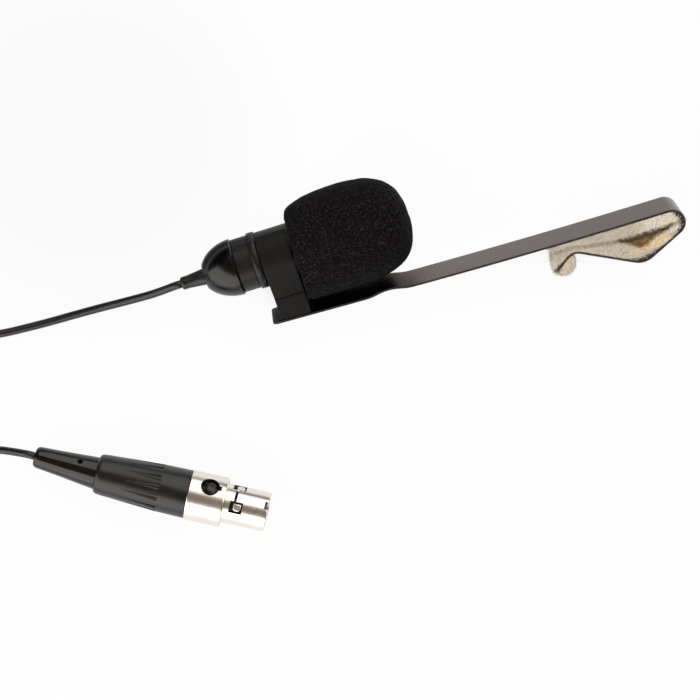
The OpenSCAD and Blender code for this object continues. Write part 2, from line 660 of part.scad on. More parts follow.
button_peg_r = 0.6;
button_round = 2.4;
module latch_button() color("#0e0e0e") plugged() translate([shell_at + button_at, 0, 0]) {
    translate([0, 0, leaf_r - leaf_t]) cylinder(h = leaf_t + 0.2, r = button_peg_r);
    intersection() {
        translate([0, 0, leaf_r]) cylinder(h = 3, r = button_d / 2);
        translate([0, 0, shell_d / 2 - 0.3 - button_round]) sphere(r = button_round);
    }
}

// ---------- Cord ----------

// A closed tube swept along points, its end faces square to the two given directions
function ring_at_point(p, d, r) = let (u = d / norm(d), s = cross(u, [0, 0, 1]), v = s / norm(s), w = cross(v, u))
    [for (k = [0 : 7]) p + r * (cos(k * 45) * v + sin(k * 45) * w)];
module tube(points, first, last, r) {
    n = len(points);
    dirs = [for (k = [0 : n - 1]) k == 0 ? first : k == n - 1 ? last : points[k + 1] - points[k - 1]];
    rings = [for (k = [0 : n - 1], q = ring_at_point(points[k], dirs[k], r)) q];
    sides = [for (k = [0 : n - 2], j = [0 : 7])
                [k * 8 + j, k * 8 + (j + 1) % 8, (k + 1) * 8 + (j + 1) % 8, (k + 1) * 8 + j]];
    polyhedron(rings, concat([[for (j = [7 : -1 : 0]) j]], sides, [[for (j = [0 : 7]) (n - 1) * 8 + j]]));
}

cord_r = cord_d / 2;
relief_dir = [cos(lie_pitch), 0, sin(lie_pitch)];
relief_mouth = head_at + relief_end * relief_dir;
boot_dir = [cos(plug_heading - boot_lean), sin(plug_heading - boot_lean), 0];
boot_mouth = [grip_at[0], grip_at[1], plug_z] - boot_len * boot_dir;

module cord_mic_side() color("#161616")
    tube(smooth(concat([relief_mouth, relief_mouth - 1.5 * relief_dir], mic_side_points), 2),
         -relief_dir, [-0.957, 0.289, 0], cord_r);

module cord_plug_side() color("#161616")
    tube(smooth(concat(plug_side_points, [boot_mouth - 2 * boot_dir, boot_mouth]), 2),
         [0.953, -0.303, 0], boot_dir, cord_r);

coil_outer = coil_d / 2 + bundle_w / 2;
coil_inner = coil_d / 2 - bundle_w / 2;
module coil_section(grow = 0) offset(r = 2 + grow) offset(delta = -2)
    translate([coil_inner, 0]) square([bundle_w, bundle_h]);
module cord_coil() color("#161616") translate([coil_at[0], coil_at[1], 0]) rotate_extrude() coil_section();

// Band around the bundle, open underneath where the coil lies on the surface
tie_t = 0.6;
tie_in = coil_d / 2 - sqrt(pow(coil_inner, 2) - pow(tie_w / 2, 2)) + running;
tie_out = bundle_w / 2 + running;
module coil_tie() color("#202020") translate([coil_at[0], coil_at[1], 0]) rotate([0, 0, 200])
    translate([coil_d / 2, tie_w / 2, 0]) rotate([90, 0, 0]) linear_extrude(tie_w) difference() {
        translate([-tie_in - tie_t, 0]) square([tie_in + tie_out + 2 * tie_t, bundle_h + running + tie_t]);
        translate([-tie_in, -1]) square([tie_in + tie_out, bundle_h + running + 1]);
    }

rear_dome();
cable_relief();
cable_tail();
cable_crimp();
cable_leads();
barrel();
stop_ring();
preamp_board();
board_components();
capsule_leads();
capsule();
capsule_gasket();
rear_mesh();
grille_mesh();
grille_cap();
foam_windscreen();
holder_collar();
holder_rivet();
spring_strip();
spring_jaw();
felt_upper();
felt_lower();
cord_mic_side();
cord_coil();
coil_tie();
cord_plug_side();
plug_boot();
plug_grip();
plug_cable_tail();
cable_chuck();
plug_leads();
plug_shell();
contact_insert();
contact_sockets();
latch_leaf();
latch_button();
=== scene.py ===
# %% [markdown]
# # A clip-on microphone, lying on a pale table
#
# The solid model comes in model.glb as a fixed frame. This script dresses it: it makes each
# visible piece again with finer edges and a finish of its own, lays the cord, lights the table
# and sets the camera. Lengths inside a piece are in millimetres, because that is how a maker
# speaks of them. They become metres when the piece is put in its place.

# %% Load the imported model
import random
from math import acos, atan, ceil, cos, degrees, pi, radians, sin, tan

import bmesh
import bpy
from mathutils import Matrix, Vector, noise
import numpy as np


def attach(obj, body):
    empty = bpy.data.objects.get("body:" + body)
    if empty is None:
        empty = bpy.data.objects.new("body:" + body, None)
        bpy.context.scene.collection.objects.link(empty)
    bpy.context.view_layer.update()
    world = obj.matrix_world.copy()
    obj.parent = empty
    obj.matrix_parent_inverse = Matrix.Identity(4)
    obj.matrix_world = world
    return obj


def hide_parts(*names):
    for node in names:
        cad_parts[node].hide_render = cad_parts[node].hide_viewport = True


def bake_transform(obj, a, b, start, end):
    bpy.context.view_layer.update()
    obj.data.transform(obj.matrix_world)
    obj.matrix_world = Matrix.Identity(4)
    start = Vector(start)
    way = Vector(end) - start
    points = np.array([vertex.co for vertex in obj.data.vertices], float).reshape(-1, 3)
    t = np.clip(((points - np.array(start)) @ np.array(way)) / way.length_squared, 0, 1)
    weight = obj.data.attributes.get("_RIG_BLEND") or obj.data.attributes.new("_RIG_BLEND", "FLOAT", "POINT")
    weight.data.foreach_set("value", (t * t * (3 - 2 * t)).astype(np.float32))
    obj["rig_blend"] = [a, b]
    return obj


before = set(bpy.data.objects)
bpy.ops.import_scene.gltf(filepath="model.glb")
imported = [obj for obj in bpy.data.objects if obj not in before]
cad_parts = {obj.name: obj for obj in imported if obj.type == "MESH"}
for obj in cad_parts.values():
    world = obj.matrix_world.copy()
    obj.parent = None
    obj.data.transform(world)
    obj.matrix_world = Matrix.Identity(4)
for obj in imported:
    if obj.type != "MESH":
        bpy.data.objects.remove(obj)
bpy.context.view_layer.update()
MM = 0.001
scene = bpy.context.scene
print("pieces in the solid model:", len(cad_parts))

# %% [markdown]
# ## Three places to work in
#
# The head is drawn along its own X axis and then laid down, rolled and a little raised. The
# clip arm has a frame of its own, which leans away from the head, and the plug has a third.
# A matrix for each lets every piece be modelled upright, in simple numbers, and moved once.


# %% Frames of the head, the clip arm and the plug
def turn(angle, axis):
    return Matrix.Rotation(radians(angle), 4, axis)


head_at = Vector((-41.9, 7.4, 10.57))
lie_roll, lie_pitch = 21.7, 2.45
head_frame = Matrix.Translation(head_at) @ turn(-lie_pitch, "Y") @ turn(lie_roll - 90, "X")

strip_drop, strip_splay = 13.55, 2.1
arm_frame = head_frame @ Matrix.Translation((0, 0, -strip_drop)) @ turn(strip_splay, "Y")

grip_at = Vector((-85.4, -26.8, 5.55))
plug_heading, button_roll, boot_lean = -30.2, 34.5, 2.4
plug_frame = Matrix.Translation(grip_at) @ turn(plug_heading, "Z") @ turn(-button_roll, "X")
boot_frame = Matrix.Translation(grip_at) @ turn(plug_heading - boot_lean, "Z")
metres = Matrix.Scale(MM, 4)

# %% [markdown]
# ## The camera
#
# It looks straight down from half a metre, with a long lens, so the pieces that lie higher
# hardly lean outward. It is turned a little about its own line of sight.


# %% Camera above the table
def as_object(name, data):
    """A new object of the scene."""
    thing = bpy.data.objects.new(name, data)
    scene.collection.objects.link(thing)
    return thing


aim_x, aim_y, camera_height, camera_turn = 18.0, -24.8, 491.42, -17.3
camera = as_object("camera", bpy.data.cameras.new("camera"))
camera.location = Vector((head_at.x + aim_x, head_at.y + aim_y, camera_height)) * MM
camera.rotation_euler = (0, 0, radians(camera_turn))
camera.data.lens, camera.data.sensor_width = 113.04, 36
camera.data.clip_start, camera.data.clip_end = 0.01, 10
scene.camera = camera
scene.view_settings.view_transform = "Standard"

# %% [markdown]
# ## The cord
#
# The cord is 1.8 mm thick and 1.4 m long. Most of that is put away in a neat coil of hexagonal
# packing: rows of five and four strands lie in the hollows of each other. One curve follows
# the whole way, out of the head, round and round, and into the plug's boot. Each turn keeps
# its own place in the bundle, and all of them change places under the tie band.

# %% Ends of the cord, and the places in the coil
cord_r = 0.9
cord_z = cord_r + 0.06
relief_end, boot_len = -12.9, 14.2
relief_mouth = head_frame @ Vector((relief_end, 0, 0))
relief_dir = (head_frame.to_3x3() @ Vector((1, 0, 0))).normalized()
boot_mouth = boot_frame @ Vector((-boot_len, 0, 0))
boot_dir = (boot_frame.to_3x3() @ Vector((1, 0, 0))).normalized()

head_side = [
    (-61.5, 7.3, 7.3), (-67.5, 7.6, 5), (-73.5, 8, 3), (-79.5, 8.3, 1.7), (-85.5, 8.5, 1.1),
    (-91.5, 8.8, cord_z), (-97.5, 9.3, cord_z), (-103.5, 10.5, cord_z), (-109.5, 12.5, cord_z)]
plug_side = [(-115.5, -12.2, cord_z), (-109.5, -14, 1.4), (-104.5, -15.6, 3)]

coil_middle, outer_lane = Vector((-121.5, 3.5, 0)), 13.1
turn_in, turn_out, coil_step = 72.0, 253.0, 10
# The strands change places within so many degrees of the band, and the last one a bit slower
tie_angle, change_half, last_change = 200.0, 26.0, 34.0
hexagonal = 0.866
row_height = cord_r * 2 * hexagonal


def seat(row, column):
    """Radius and height of one strand's place, counted from outside and below."""
    radius = outer_lane - column * 2 * cord_r - (row % 2) * cord_r
    return radius, cord_z + row * row_height


# In from the outside along the bottom, up the inner wall, out over the top, and zigzag home
winding = ([(0, c) for c in range(5)] + [(1, 3), (2, 4), (3, 3)]
           + [(4, c) for c in range(4, -1, -1)]
           + [(3, 0), (3, 1), (3, 2), (2, 3), (1, 2), (2, 2), (1, 1), (2, 1), (2, 0), (1, 0)])
seats = [seat(row, column) for row, column in winding] + [seat(0, 0)]
whole_turns = len(winding) - 2
print("places in the coil: %d, rows %.2f mm apart" % (len(winding), row_height))


# %% Way along the coil and beyond it
def ease(t):
    t = min(1.0, max(0.0, t))
    return t * t * (3 - 2 * t)


def coil_point(angle):
    """Where the strand is after so many degrees, counted on from its first entry."""
    passed = (angle - tie_angle + change_half) / 360
    k = int(passed // 1) if passed > 0 else -1
    t = ease((passed - k) * 360 / (2 * change_half)) if passed > 0 else 0
    here, there = seats[max(0, k)], seats[min(k + 1, len(seats) - 1)]
    past_last = angle - tie_angle - 360 * whole_turns - change_half
    if past_last > 0:
        here, there, t = seats[-2], seats[-1], ease(past_last / last_change)
    radius, height = (a + (b - a) * t for a, b in zip(here, there))
    return coil_middle + Vector((radius * cos(radians(angle)), radius * sin(radians(angle)),
                                 height))


def smooth_line(points, per_span):
    """A curve through the points, with more points between them."""
    points = [Vector(p) for p in points]
    line = []
    for k in range(len(points) - 1):
        a, b, c, d = (points[max(0, min(len(points) - 1, k + j))] for j in (-1, 0, 1, 2))
        for i in range(per_span):
            t = i / per_span
            line.append(0.5 * (2 * b + t * (c - a) + t * t * (2 * a - 5 * b + 4 * c - d)
                               + t * t * t * (3 * b - a - 3 * c + d)))
    return line + [points[-1]]


coil_steps = int((turn_out + 360 * whole_turns - turn_in) / coil_step)
coil_line = [coil_point(turn_in + coil_step * k) for k in range(coil_steps + 1)]
out_of_head = [relief_mouth, relief_mouth - 1.5 * relief_dir]
into_boot = [boot_mouth - 2 * boot_dir, boot_mouth]
cord_line = (smooth_line(out_of_head + head_side + [coil_line[0]], 4)[:-1] + coil_line
             + smooth_line([coil_line[-1]] + plug_side + into_boot, 5)[1:])
cord_len = sum((b - a).length for a, b in zip(cord_line, cord_line[1:]))
print("cord along its middle line: %.1f mm, %d points" % (cord_len, len(cord_line)))

# %% [markdown]
# A curve with a round bevel makes the cord itself. It needs only a line of points and a
# thickness, and it keeps the cord equally round everywhere, in the tight turns too.

# %% Cord as a round bevelled curve
cord_curve = bpy.data.curves.new("cord", "CURVE")
cord_curve.dimensions = "3D"
# The bevel is one metre deep and each point shrinks it to the cord's radius, because Blender
# adds the points' radius to a curve's box, and 1 is one metre there
cord_curve.bevel_depth = 1.0
cord_curve.bevel_resolution = 3
cord_curve.use_fill_caps = True
strand = cord_curve.splines.new("POLY")
strand.points.add(len(cord_line) - 1)
for knot, point in zip(strand.points, cord_line):
    knot.co, knot.radius = (*(point * MM), 1), cord_r * MM
strand.use_smooth = True
cord = as_object("cord", cord_curve)
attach(cord, "microphone")
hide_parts("cord_mic_side", "cord_coil", "cord_plug_side")

# %% [markdown]
# ## Finishes
#
# Every finish starts from one Principled shader. A noise on Object coordinates makes its colour
# and its roughness wander a little, and a finer one, through Bump, gives the surface its grain.
# The patterns stay fixed to the piece, because each object sits at the origin.

# %% Tools for shader nodes
# The finishes by their own names, because Blender renames one whose name is already taken
looks = {}


def shader_nodes(name):
    material = looks[name] = bpy.data.materials.new(name)
    material.use_nodes = True
    tree = material.node_tree
    return material, tree, tree.nodes["Principled BSDF"]


def feed(tree, node, sockets):
    """Give each socket its value, or link it to the output given for it."""
    for key, value in sockets.items():
        if isinstance(value, bpy.types.NodeSocket):
            tree.links.new(value, node.inputs[key])
        else:
            node.inputs[key].default_value = value


def add(tree, kind, *first, **named):
    """A new node. The unnamed values go to its first sockets, the others by their names."""
    node = tree.nodes.new("ShaderNode" + kind)
    sockets = dict(enumerate(first))
    for key, value in named.items():
        if key in node.inputs:
            sockets[key] = value
        else:
            setattr(node, key, value)
    feed(tree, node, sockets)
    return node


def ramp(tree, source, stops):
    """The colour that a row of (place, colour) stops gives a value."""
    node = add(tree, "ValToRGB", source)
    elements = node.color_ramp.elements
    while len(elements) < len(stops):
        elements.new(0.5)
    for element, (place, colour) in zip(elements, stops):
        element.position, element.color = place, (*colour, 1)
    return node.outputs["Color"]


def maths(tree, operation, *values, clamp=False):
    return add(tree, "Math", *values, operation=operation, use_clamp=clamp).outputs["Value"]


def noise_value(tree, vector, scale, detail, **others):
    return add(tree, "TexNoise", Vector=vector, Scale=scale, Detail=detail,
               **others).outputs["Fac"]


def multiplied(tree, a, b):
    """One colour times another."""
    return add(tree, "Mix", data_type="RGBA", blend_type="MULTIPLY", Factor=1.0, A=a,
               B=b).outputs["Result"]


def bumped(tree, height, strength, depth, **others):
    """A normal that follows a height. The depth is in millimetres."""
    return add(tree, "Bump", Strength=strength, Distance=depth * MM, Height=height,
               **others).outputs["Normal"]


def grain_coords(tree, matrix=None, stretch=(1, 1, 1)):
    """Object coordinates, turned into a piece's frame, so that a pattern follows its axis."""
    coords = add(tree, "TexCoord").outputs["Object"]
    turned = add(tree, "Mapping", Vector=coords, vector_type="POINT")
    if matrix is not None:
        turned.inputs["Rotation"].default_value = matrix.to_3x3().inverted().to_euler()
    return add(tree, "Mapping", Vector=turned.outputs["Vector"], Scale=stretch).outputs["Vector"]


# %% A finish with wandering colour, roughness and grain
noise_low, noise_high = 0.3, 0.7


def finish(name, dark, light, rough, metallic=0.0, spots=900, grain=5000, bump=0.1, depth=0.02,
           matrix=None, stretch=(1, 1, 1), specular=0.5):
    """dark and light are the two colours it wanders between; rough is a pair too."""
    material, tree, shader = shader_nodes(name)
    vector = grain_coords(tree, matrix, stretch)
    cloud = noise_value(tree, vector, spots, 4.0)
    fine = noise_value(tree, vector, grain, 2.0)
    shine = add(tree, "MapRange", cloud, noise_low, noise_high, *rough).outputs["Result"]
    feed(tree, shader, {"Base Color": ramp(tree, cloud, [(noise_low, dark), (noise_high, light)]),
                        "Roughness": shine, "Normal": bumped(tree, fine, bump, depth),
                        "Metallic": metallic, "Specular IOR Level": specular})
    return material


# %% Shades that depend on a place in a frame
def along(tree, matrix, axis):
    """A distance along a frame's axis, which still lacks the offset that comes with it."""
    row = (metres @ matrix).inverted()[axis]
    coords = add(tree, "TexCoord").outputs["Object"]
    dot = add(tree, "VectorMath", coords, row[:3], operation="DOT_PRODUCT")
    return dot.outputs["Value"], row[3]


def from_axis(tree, matrix):
    """Distance from a frame's X axis in millimetres."""
    sideways = add(tree, "CombineXYZ")
    for axis in (1, 2):
        distance, offset = along(tree, matrix, axis)
        feed(tree, sideways, {axis: maths(tree, "ADD", distance, offset)})
    return add(tree, "VectorMath", sideways.outputs["Vector"],
               operation="LENGTH").outputs["Value"]


def darken(material, measure, start, end, shade):
    """Multiply the colour by a shade before start, and less and less up to end."""
    tree = material.node_tree
    shader = tree.nodes["Principled BSDF"]
    span = add(tree, "MapRange", measure, start, end).outputs["Result"]
    shades = ramp(tree, span, [(0.0, shade), (1.0, (1, 1, 1))])
    before = shader.inputs["Base Color"].links[0].from_socket
    feed(tree, shader, {"Base Color": multiplied(tree, before, shades)})


# %% [markdown]
# ### Painted metal, rubber and plastic
#
# Black pieces lie beside each other here, and only small differences in shine tell them
# apart: satin paint on turned metal, a duller casting for the collar, smooth rubber and
# moulded plastic. Lathe marks run round the head, so its noise is squeezed along the axis.

# %% Black finishes
finish("dome_black", (0.0012, 0.0011, 0.0011), (0.0022, 0.002, 0.002), (0.2, 0.25), spots=350,
       grain=1500, bump=0.08, matrix=head_frame, stretch=(4, 0.35, 0.35), specular=0.42)
finish("satin_black", (0.003, 0.0028, 0.0026), (0.0046, 0.0042, 0.004), (0.36, 0.43),
       spots=350, grain=1500, matrix=head_frame, stretch=(4, 0.35, 0.35), specular=0.4)
finish("cast_black", (0.0068, 0.0064, 0.006), (0.0098, 0.0092, 0.0087), (0.38, 0.46),
       spots=500, grain=1800, bump=0.16, matrix=head_frame, stretch=(3, 0.5, 0.5),
       specular=0.17)
finish("relief_rubber", (0.008, 0.008, 0.008), (0.013, 0.013, 0.013), (0.27, 0.36), grain=4000)
finish("boot_rubber", (0.0035, 0.0035, 0.0034), (0.006, 0.006, 0.0058), (0.11, 0.17),
       spots=300, grain=2500, bump=0.05)
finish("cord_jacket", (0.009, 0.0085, 0.0085), (0.014, 0.0135, 0.013), (0.26, 0.34), spots=700,
       grain=3000, bump=0.06)
finish("grip_plastic", (0.0062, 0.006, 0.0058), (0.0095, 0.0092, 0.0088), (0.28, 0.34),
       spots=800, grain=9000, matrix=plug_frame)
finish("gloss_black", (0.004, 0.004, 0.004), (0.006, 0.006, 0.006), (0.2, 0.26), bump=0.02)
finish("tie_fabric", (0.008, 0.008, 0.008), (0.03, 0.03, 0.03), (0.8, 0.95), spots=2500,
       bump=0.6, depth=0.08)

# %% [markdown]
# ### Bright metal and the inner parts
#
# Nickel is nearly white and mirrors the lamps, so a low roughness and a faint, stretched noise
# are enough. The latch leaf is bright too, but inside the shell it lies in the dark, so its colour
# is darkened toward the plug's axis as painted shade. The inner parts get plain finishes, because
# they show only through the holes.

# %% Metal, wire and board finishes
finish("nickel", (0.86, 0.815, 0.755), (0.9, 0.86, 0.8), (0.25, 0.29), metallic=1.0, spots=200,
       grain=1400, bump=0.012, depth=0.01, matrix=plug_frame, stretch=(2.5, 0.5, 0.5))
leaf_metal = finish(
    "leaf_metal", (0.8, 0.76, 0.71), (0.86, 0.82, 0.77), (0.3, 0.38), metallic=1.0)
# Painted shade: the leaf's colour darkens toward the plug's axis, inside the shell
leaf_full_shade_r, leaf_shade_end_r = 3.6, 3.9
darken(leaf_metal, from_axis(leaf_metal.node_tree, plug_frame), leaf_full_shade_r, leaf_shade_end_r,
       (0.06, 0.05, 0.045))
for name, dark, light, rough, metallic in (
        ("gold", (0.75, 0.52, 0.2), (0.85, 0.62, 0.28), (0.18, 0.28), 1.0),
        ("dull_metal", (0.5, 0.5, 0.49), (0.62, 0.62, 0.6), (0.3, 0.45), 1.0),
        ("copper_wire", (0.6, 0.3, 0.16), (0.75, 0.42, 0.25), (0.25, 0.4), 1.0),
        ("wire_red", (0.35, 0.04, 0.03), (0.45, 0.07, 0.05), (0.4, 0.5), 0.0),
        ("board_green", (0.01, 0.09, 0.03), (0.02, 0.14, 0.05), (0.3, 0.45), 0.0),
        ("part_tan", (0.25, 0.18, 0.1), (0.38, 0.3, 0.18), (0.4, 0.6), 0.0),
        ("insert_black", (0.007, 0.007, 0.007), (0.012, 0.012, 0.0115), (0.4, 0.55), 0.0)):
    finish(name, dark, light, rough, metallic)

# %% [markdown]
# ### Spring steel
#
# The arm is dark, heat-coloured steel, rolled to a satin shine. Rolling leaves fine scratches
# along it, so the noise is stretched lengthwise. The rear end, which lies against the foot, is
# painted darker as shade: it stands for the dark housing that this end mirrors. The strip was
# sheared from a sheet, and its edges get a dark finish of their own.

# %% Steel of the clip arm
spring_steel = finish(
    "spring_steel", (0.09, 0.065, 0.062), (0.1, 0.074, 0.07), (0.17, 0.22), metallic=1.0,
    spots=60, grain=700, bump=0.05, depth=0.01, matrix=arm_frame, stretch=(0.3, 3, 3))
# Painted shade: the rear end's colour is darkened, for the dark housing that it mirrors
foot_shade_from, foot_shade_to = 5.4, 6.4
arm_x, arm_offset = along(spring_steel.node_tree, arm_frame, 0)
darken(spring_steel, arm_x, foot_shade_from - arm_offset, foot_shade_to - arm_offset,
       (0.16, 0.18, 0.185))
# The strip's edges get a dark, rough finish of their own
dark_strip_edge = finish(
    "dark_strip_edge", (0.012, 0.009, 0.007), (0.05, 0.04, 0.034), (0.4, 0.55), grain=3000,
    bump=0.3, matrix=arm_frame, specular=0.3)

# %% [markdown]
# ### Open-cell foam
#
# Foam is a net of fine black threads round tiny bubbles. Here and there a thread catches the
# light as a speck, which is painted into the colour as a highlight. A Voronoi pattern gives the
# bubbles: its distance to the edge makes the bump, and a second, sparse noise picks the threads
# that get a painted highlight.


# %% Foam finish
def foam_finish():
    _, tree, shader = shader_nodes("black_foam")
    vector = grain_coords(tree)
    cells = add(tree, "TexVoronoi", Vector=vector, Scale=1700.0,
                feature="DISTANCE_TO_EDGE").outputs["Distance"]
    sparse = noise_value(tree, vector, 2400.0, 3.0, Roughness=0.7)
    # Painted highlights: threads that the sparse noise picks get a lighter colour
    threads = ramp(tree, cells, [(0.0, (1, 1, 1)), (0.2, (0, 0, 0))])
    shining = ramp(tree, sparse, [(0.46, (0, 0, 0)), (0.66, (1, 1, 1))])
    specks = maths(tree, "MULTIPLY", threads, shining)
    mottling = noise_value(tree, vector, 900.0, 2.0)
    tone = maths(tree, "MULTIPLY_ADD", mottling, 0.55, specks)
    colour = ramp(tree, tone, [(0.14, (0.0008, 0.0006, 0.0007)),
                               (0.42, (0.0047, 0.0038, 0.0042)), (1.0, (0.034, 0.03, 0.032))])
    feed(tree, shader, {"Base Color": colour, "Roughness": 0.85, "Specular IOR Level": 0.08,
                        "Normal": bumped(tree, cells, 0.9, 0.12, invert=True)})


foam_finish()

# %% [markdown]
# ### Felt
#
# The pads are cut from thick wool felt, cream-white, with warmer patches where glue and age
# have stained it. The hollow between the layers is brown, partly a real stain and partly painted
# shade, and the felt's rim along the steel is painted black as the steel's shadow. So the mesh
# carries five attributes, and the finish mixes in one tint by each.

# %% Felt finish
tints = {"pale": (0.83, 0.78, 0.67), "warm": (0.88, 0.71, 0.47), "amber": (0.38, 0.22, 0.08),
         "dark": (0.095, 0.066, 0.041), "black": (0.011, 0.009, 0.008)}


def felt_finish():
    _, tree, shader = shader_nodes("cream_felt")
    vector = grain_coords(tree, arm_frame)
    patches = noise_value(tree, vector, 330.0, 3.0, Roughness=0.6)
    fibres = noise_value(tree, vector, 2300.0, 4.0, Roughness=0.75)
    wool = ramp(tree, patches, [(0.34, (0.62, 0.575, 0.5)), (0.5, (0.66, 0.6, 0.505)),
                                (0.68, (0.74, 0.65, 0.52))])
    shade = ramp(tree, fibres, [(0.3, (0.5, 0.47, 0.43)), (0.45, (0.93, 0.93, 0.92)),
                                (0.7, (1.22, 1.22, 1.22))])
    colour = multiplied(tree, wool, shade)
    # Each tint, stains and painted shade alike, grows where its attribute rises, with a ragged
    # edge from the fibres
    for attribute, tint in tints.items():
        stain_and_shade = add(tree, "Attribute", attribute_name=attribute).outputs["Fac"]
        ragged = maths(tree, "MULTIPLY_ADD", fibres, 0.9, stain_and_shade)
        amount = ramp(tree, ragged, [(0.5, (0, 0, 0)), (1.0, (1, 1, 1))])
        colour = add(tree, "Mix", data_type="RGBA", Factor=amount, A=colour,
                     B=(*tint, 1)).outputs["Result"]
    feed(tree, shader, {"Base Color": colour, "Normal": bumped(tree, fibres, 0.8, 0.12),
                        "Roughness": 0.95, "Specular IOR Level": 0.1, "Sheen Weight": 0.25,
                        "Sheen Roughness": 0.6})


felt_finish()
print("finishes:", len(looks))

# %% [markdown]
# ## Tools for making pieces
#
# Most pieces of a microphone come off a lathe, so the first tool spins an outline about the X
# axis. Others soften the sharp edges, because a real edge is never perfectly sharp and it is
# the edge that catches the light. The last one puts a finished piece in its place.


# %% Meshes in and out
def as_mesh(name, bm):
    """A mesh datablock from a bmesh, which is used up."""
    mesh = bpy.data.meshes.new(name)
    bm.to_mesh(mesh)
    bm.free()
    return mesh


def join(bm, part):
    """Put a second bmesh into the first."""
    mesh = as_mesh("part", part)
    bm.from_mesh(mesh)
    bpy.data.meshes.remove(mesh)


def after_modifiers(thing):
    """The mesh that an object's modifiers give, in place of the object."""
    result = bmesh.new()
    depsgraph = bpy.context.evaluated_depsgraph_get()
    result.from_mesh(thing.evaluated_get(depsgraph).to_mesh())
    bpy.data.objects.remove(thing)
    return result


def cad_copy(node):
    """A merged copy of a CAD node's mesh, in metres and already in place."""
    bm = bmesh.new()
    bm.from_mesh(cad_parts[node].data)
    bmesh.ops.remove_doubles(bm, verts=bm.verts, dist=2e-6)
    bmesh.ops.dissolve_limit(bm, angle_limit=radians(0.5), verts=bm.verts, edges=bm.edges)
    return bm


def cad_copy_in(node, matrix):
    """The same, in millimetres and in a frame of its own."""
    bm = cad_copy(node)
    bmesh.ops.transform(bm, matrix=(metres @ matrix).inverted(), verts=bm.verts)
    return bm


# %% Spin, bevel and turn
def spun(outline, steps=96):
    """A turned solid. The outline is a list of (x, radius) points, closed if off the axis."""
    bm = bmesh.new()
    closing = outline[:1] if outline[0][1] else []
    points = [bm.verts.new((x, 0, r)) for x, r in outline + closing]
    edges = [bm.edges.new(pair) for pair in zip(points, points[1:])]
    bmesh.ops.spin(bm, geom=points + edges, cent=(0, 0, 0), axis=(1, 0, 0), angle=2 * pi,
                   steps=steps, use_merge=True)
    bmesh.ops.remove_doubles(bm, verts=bm.verts, dist=1e-4)
    bmesh.ops.recalc_face_normals(bm, faces=bm.faces)
    return bm


def bevel(bm, geom, width, segments, affect="EDGES"):
    bmesh.ops.bevel(bm, geom=geom, offset=width, offset_type="OFFSET", segments=segments,
                    profile=0.5, affect=affect, clamp_overlap=True, material=-1)


def soften(bm, width, sharper_than, segments):
    bevel(bm, [e for e in bm.edges if len(e.link_faces) == 2
               and e.calc_face_angle() > radians(sharper_than)], width, segments)


def rotate(bm, verts, angle, axis):
    bmesh.ops.rotate(bm, verts=verts, cent=(0, 0, 0),
                     matrix=Matrix.Rotation(radians(angle), 3, axis))


# %% Put a piece in its place
def keep_flat(piece):
    """Keep the large faces flat in the light, up to their softened edges."""
    piece.modifiers.new("flat faces", "WEIGHTED_NORMAL").keep_sharp = True


def place(name, bm, matrix, body, look, slot, nodes, sharp=35, flat=False):
    """Without a matrix the mesh is in place already. Without a body the piece rides later."""
    if matrix is not None:
        bmesh.ops.transform(bm, matrix=metres @ matrix, verts=bm.verts)
    piece = as_object(name, as_mesh(name, bm))
    piece.data.materials.append(looks[look])
    piece.data.shade_smooth()
    piece.data.set_sharp_from_angle(angle=radians(sharp))
    if flat:
        keep_flat(piece)
    if body is not None:
        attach(piece, body)
    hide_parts(*nodes)
    print("%s: %d faces" % (name, len(piece.data.polygons)))
    return piece


def softened(name, node, body, look, slot, width, sharper_than=40, segments=2, flat=True):
    """A CAD node's own mesh with its edges softened."""
    copy = cad_copy(node)
    soften(copy, width * MM, sharper_than, segments)
    return place(name, copy, None, body, look, slot, [node], flat=flat)


# %% [markdown]
# ## The housing
#
# A rear dome screws into a tube. A bright line shows where their two chamfers meet. Then come
# a groove, a stop ring and a second groove, which let the eye read the head as several parts.

# %% Rear dome
dome_len, dome_reach, dome_r, bore_r, dome_steps = 7.5, 8.3, 6.33, 5.1, 24
first = acos(dome_len / dome_reach)
dome_outline = [(-dome_len, 1.87)]
for k in range(dome_steps):
    angle = first + (pi / 2 - first) * k / dome_steps
    dome_outline.append((-dome_reach * cos(angle), dome_r * sin(angle)))
dome_outline += [
    (-0.3, dome_r), (0, dome_r - 0.3), (0, bore_r - 0.02), (2.5, bore_r - 0.02),
    (2.5, bore_r - 0.8), (-5.2, 3.6), (-5.6, 1.87)]
place("rear_dome_turned", spun(dome_outline), head_frame, "microphone", "dome_black",
      "satin_black_metal", ["rear_dome"], sharp=25)

# %% [markdown]
# The tube and the front cap are kept from the solid model, where their openings are already
# cut, and get their edges softened. The stop ring is spun again with round shoulders.

# %% Housing tube, stop ring and front cap
softened("housing_tube", "barrel", "microphone", "satin_black", "satin_black_metal", 0.09)

ring_from, ring_w, ring_r, ring_foot_r = 3.7, 1.7, 6.3, 5.65
ring_to = ring_from + ring_w
ring_outline = [
    (ring_from, ring_foot_r), (ring_from, ring_r - 0.2), (ring_from + 0.06, ring_r - 0.08),
    (ring_from + 0.2, ring_r), (ring_to - 0.2, ring_r), (ring_to - 0.06, ring_r - 0.08),
    (ring_to, ring_r - 0.2), (ring_to, ring_foot_r)]
place("stop_ring_turned", spun(ring_outline), head_frame, "microphone", "satin_black",
      "satin_black_metal", ["stop_ring"])

softened("front_cap", "grille_cap", "microphone", "satin_black", "satin_black_metal", 0.06,
         segments=1, flat=False)

# %% [markdown]
# The relief keeps the cord from kinking where it leaves the dome. It is soft rubber, thicker
# toward the dome, with a small round lip at its thin end and a flange that holds it inside.

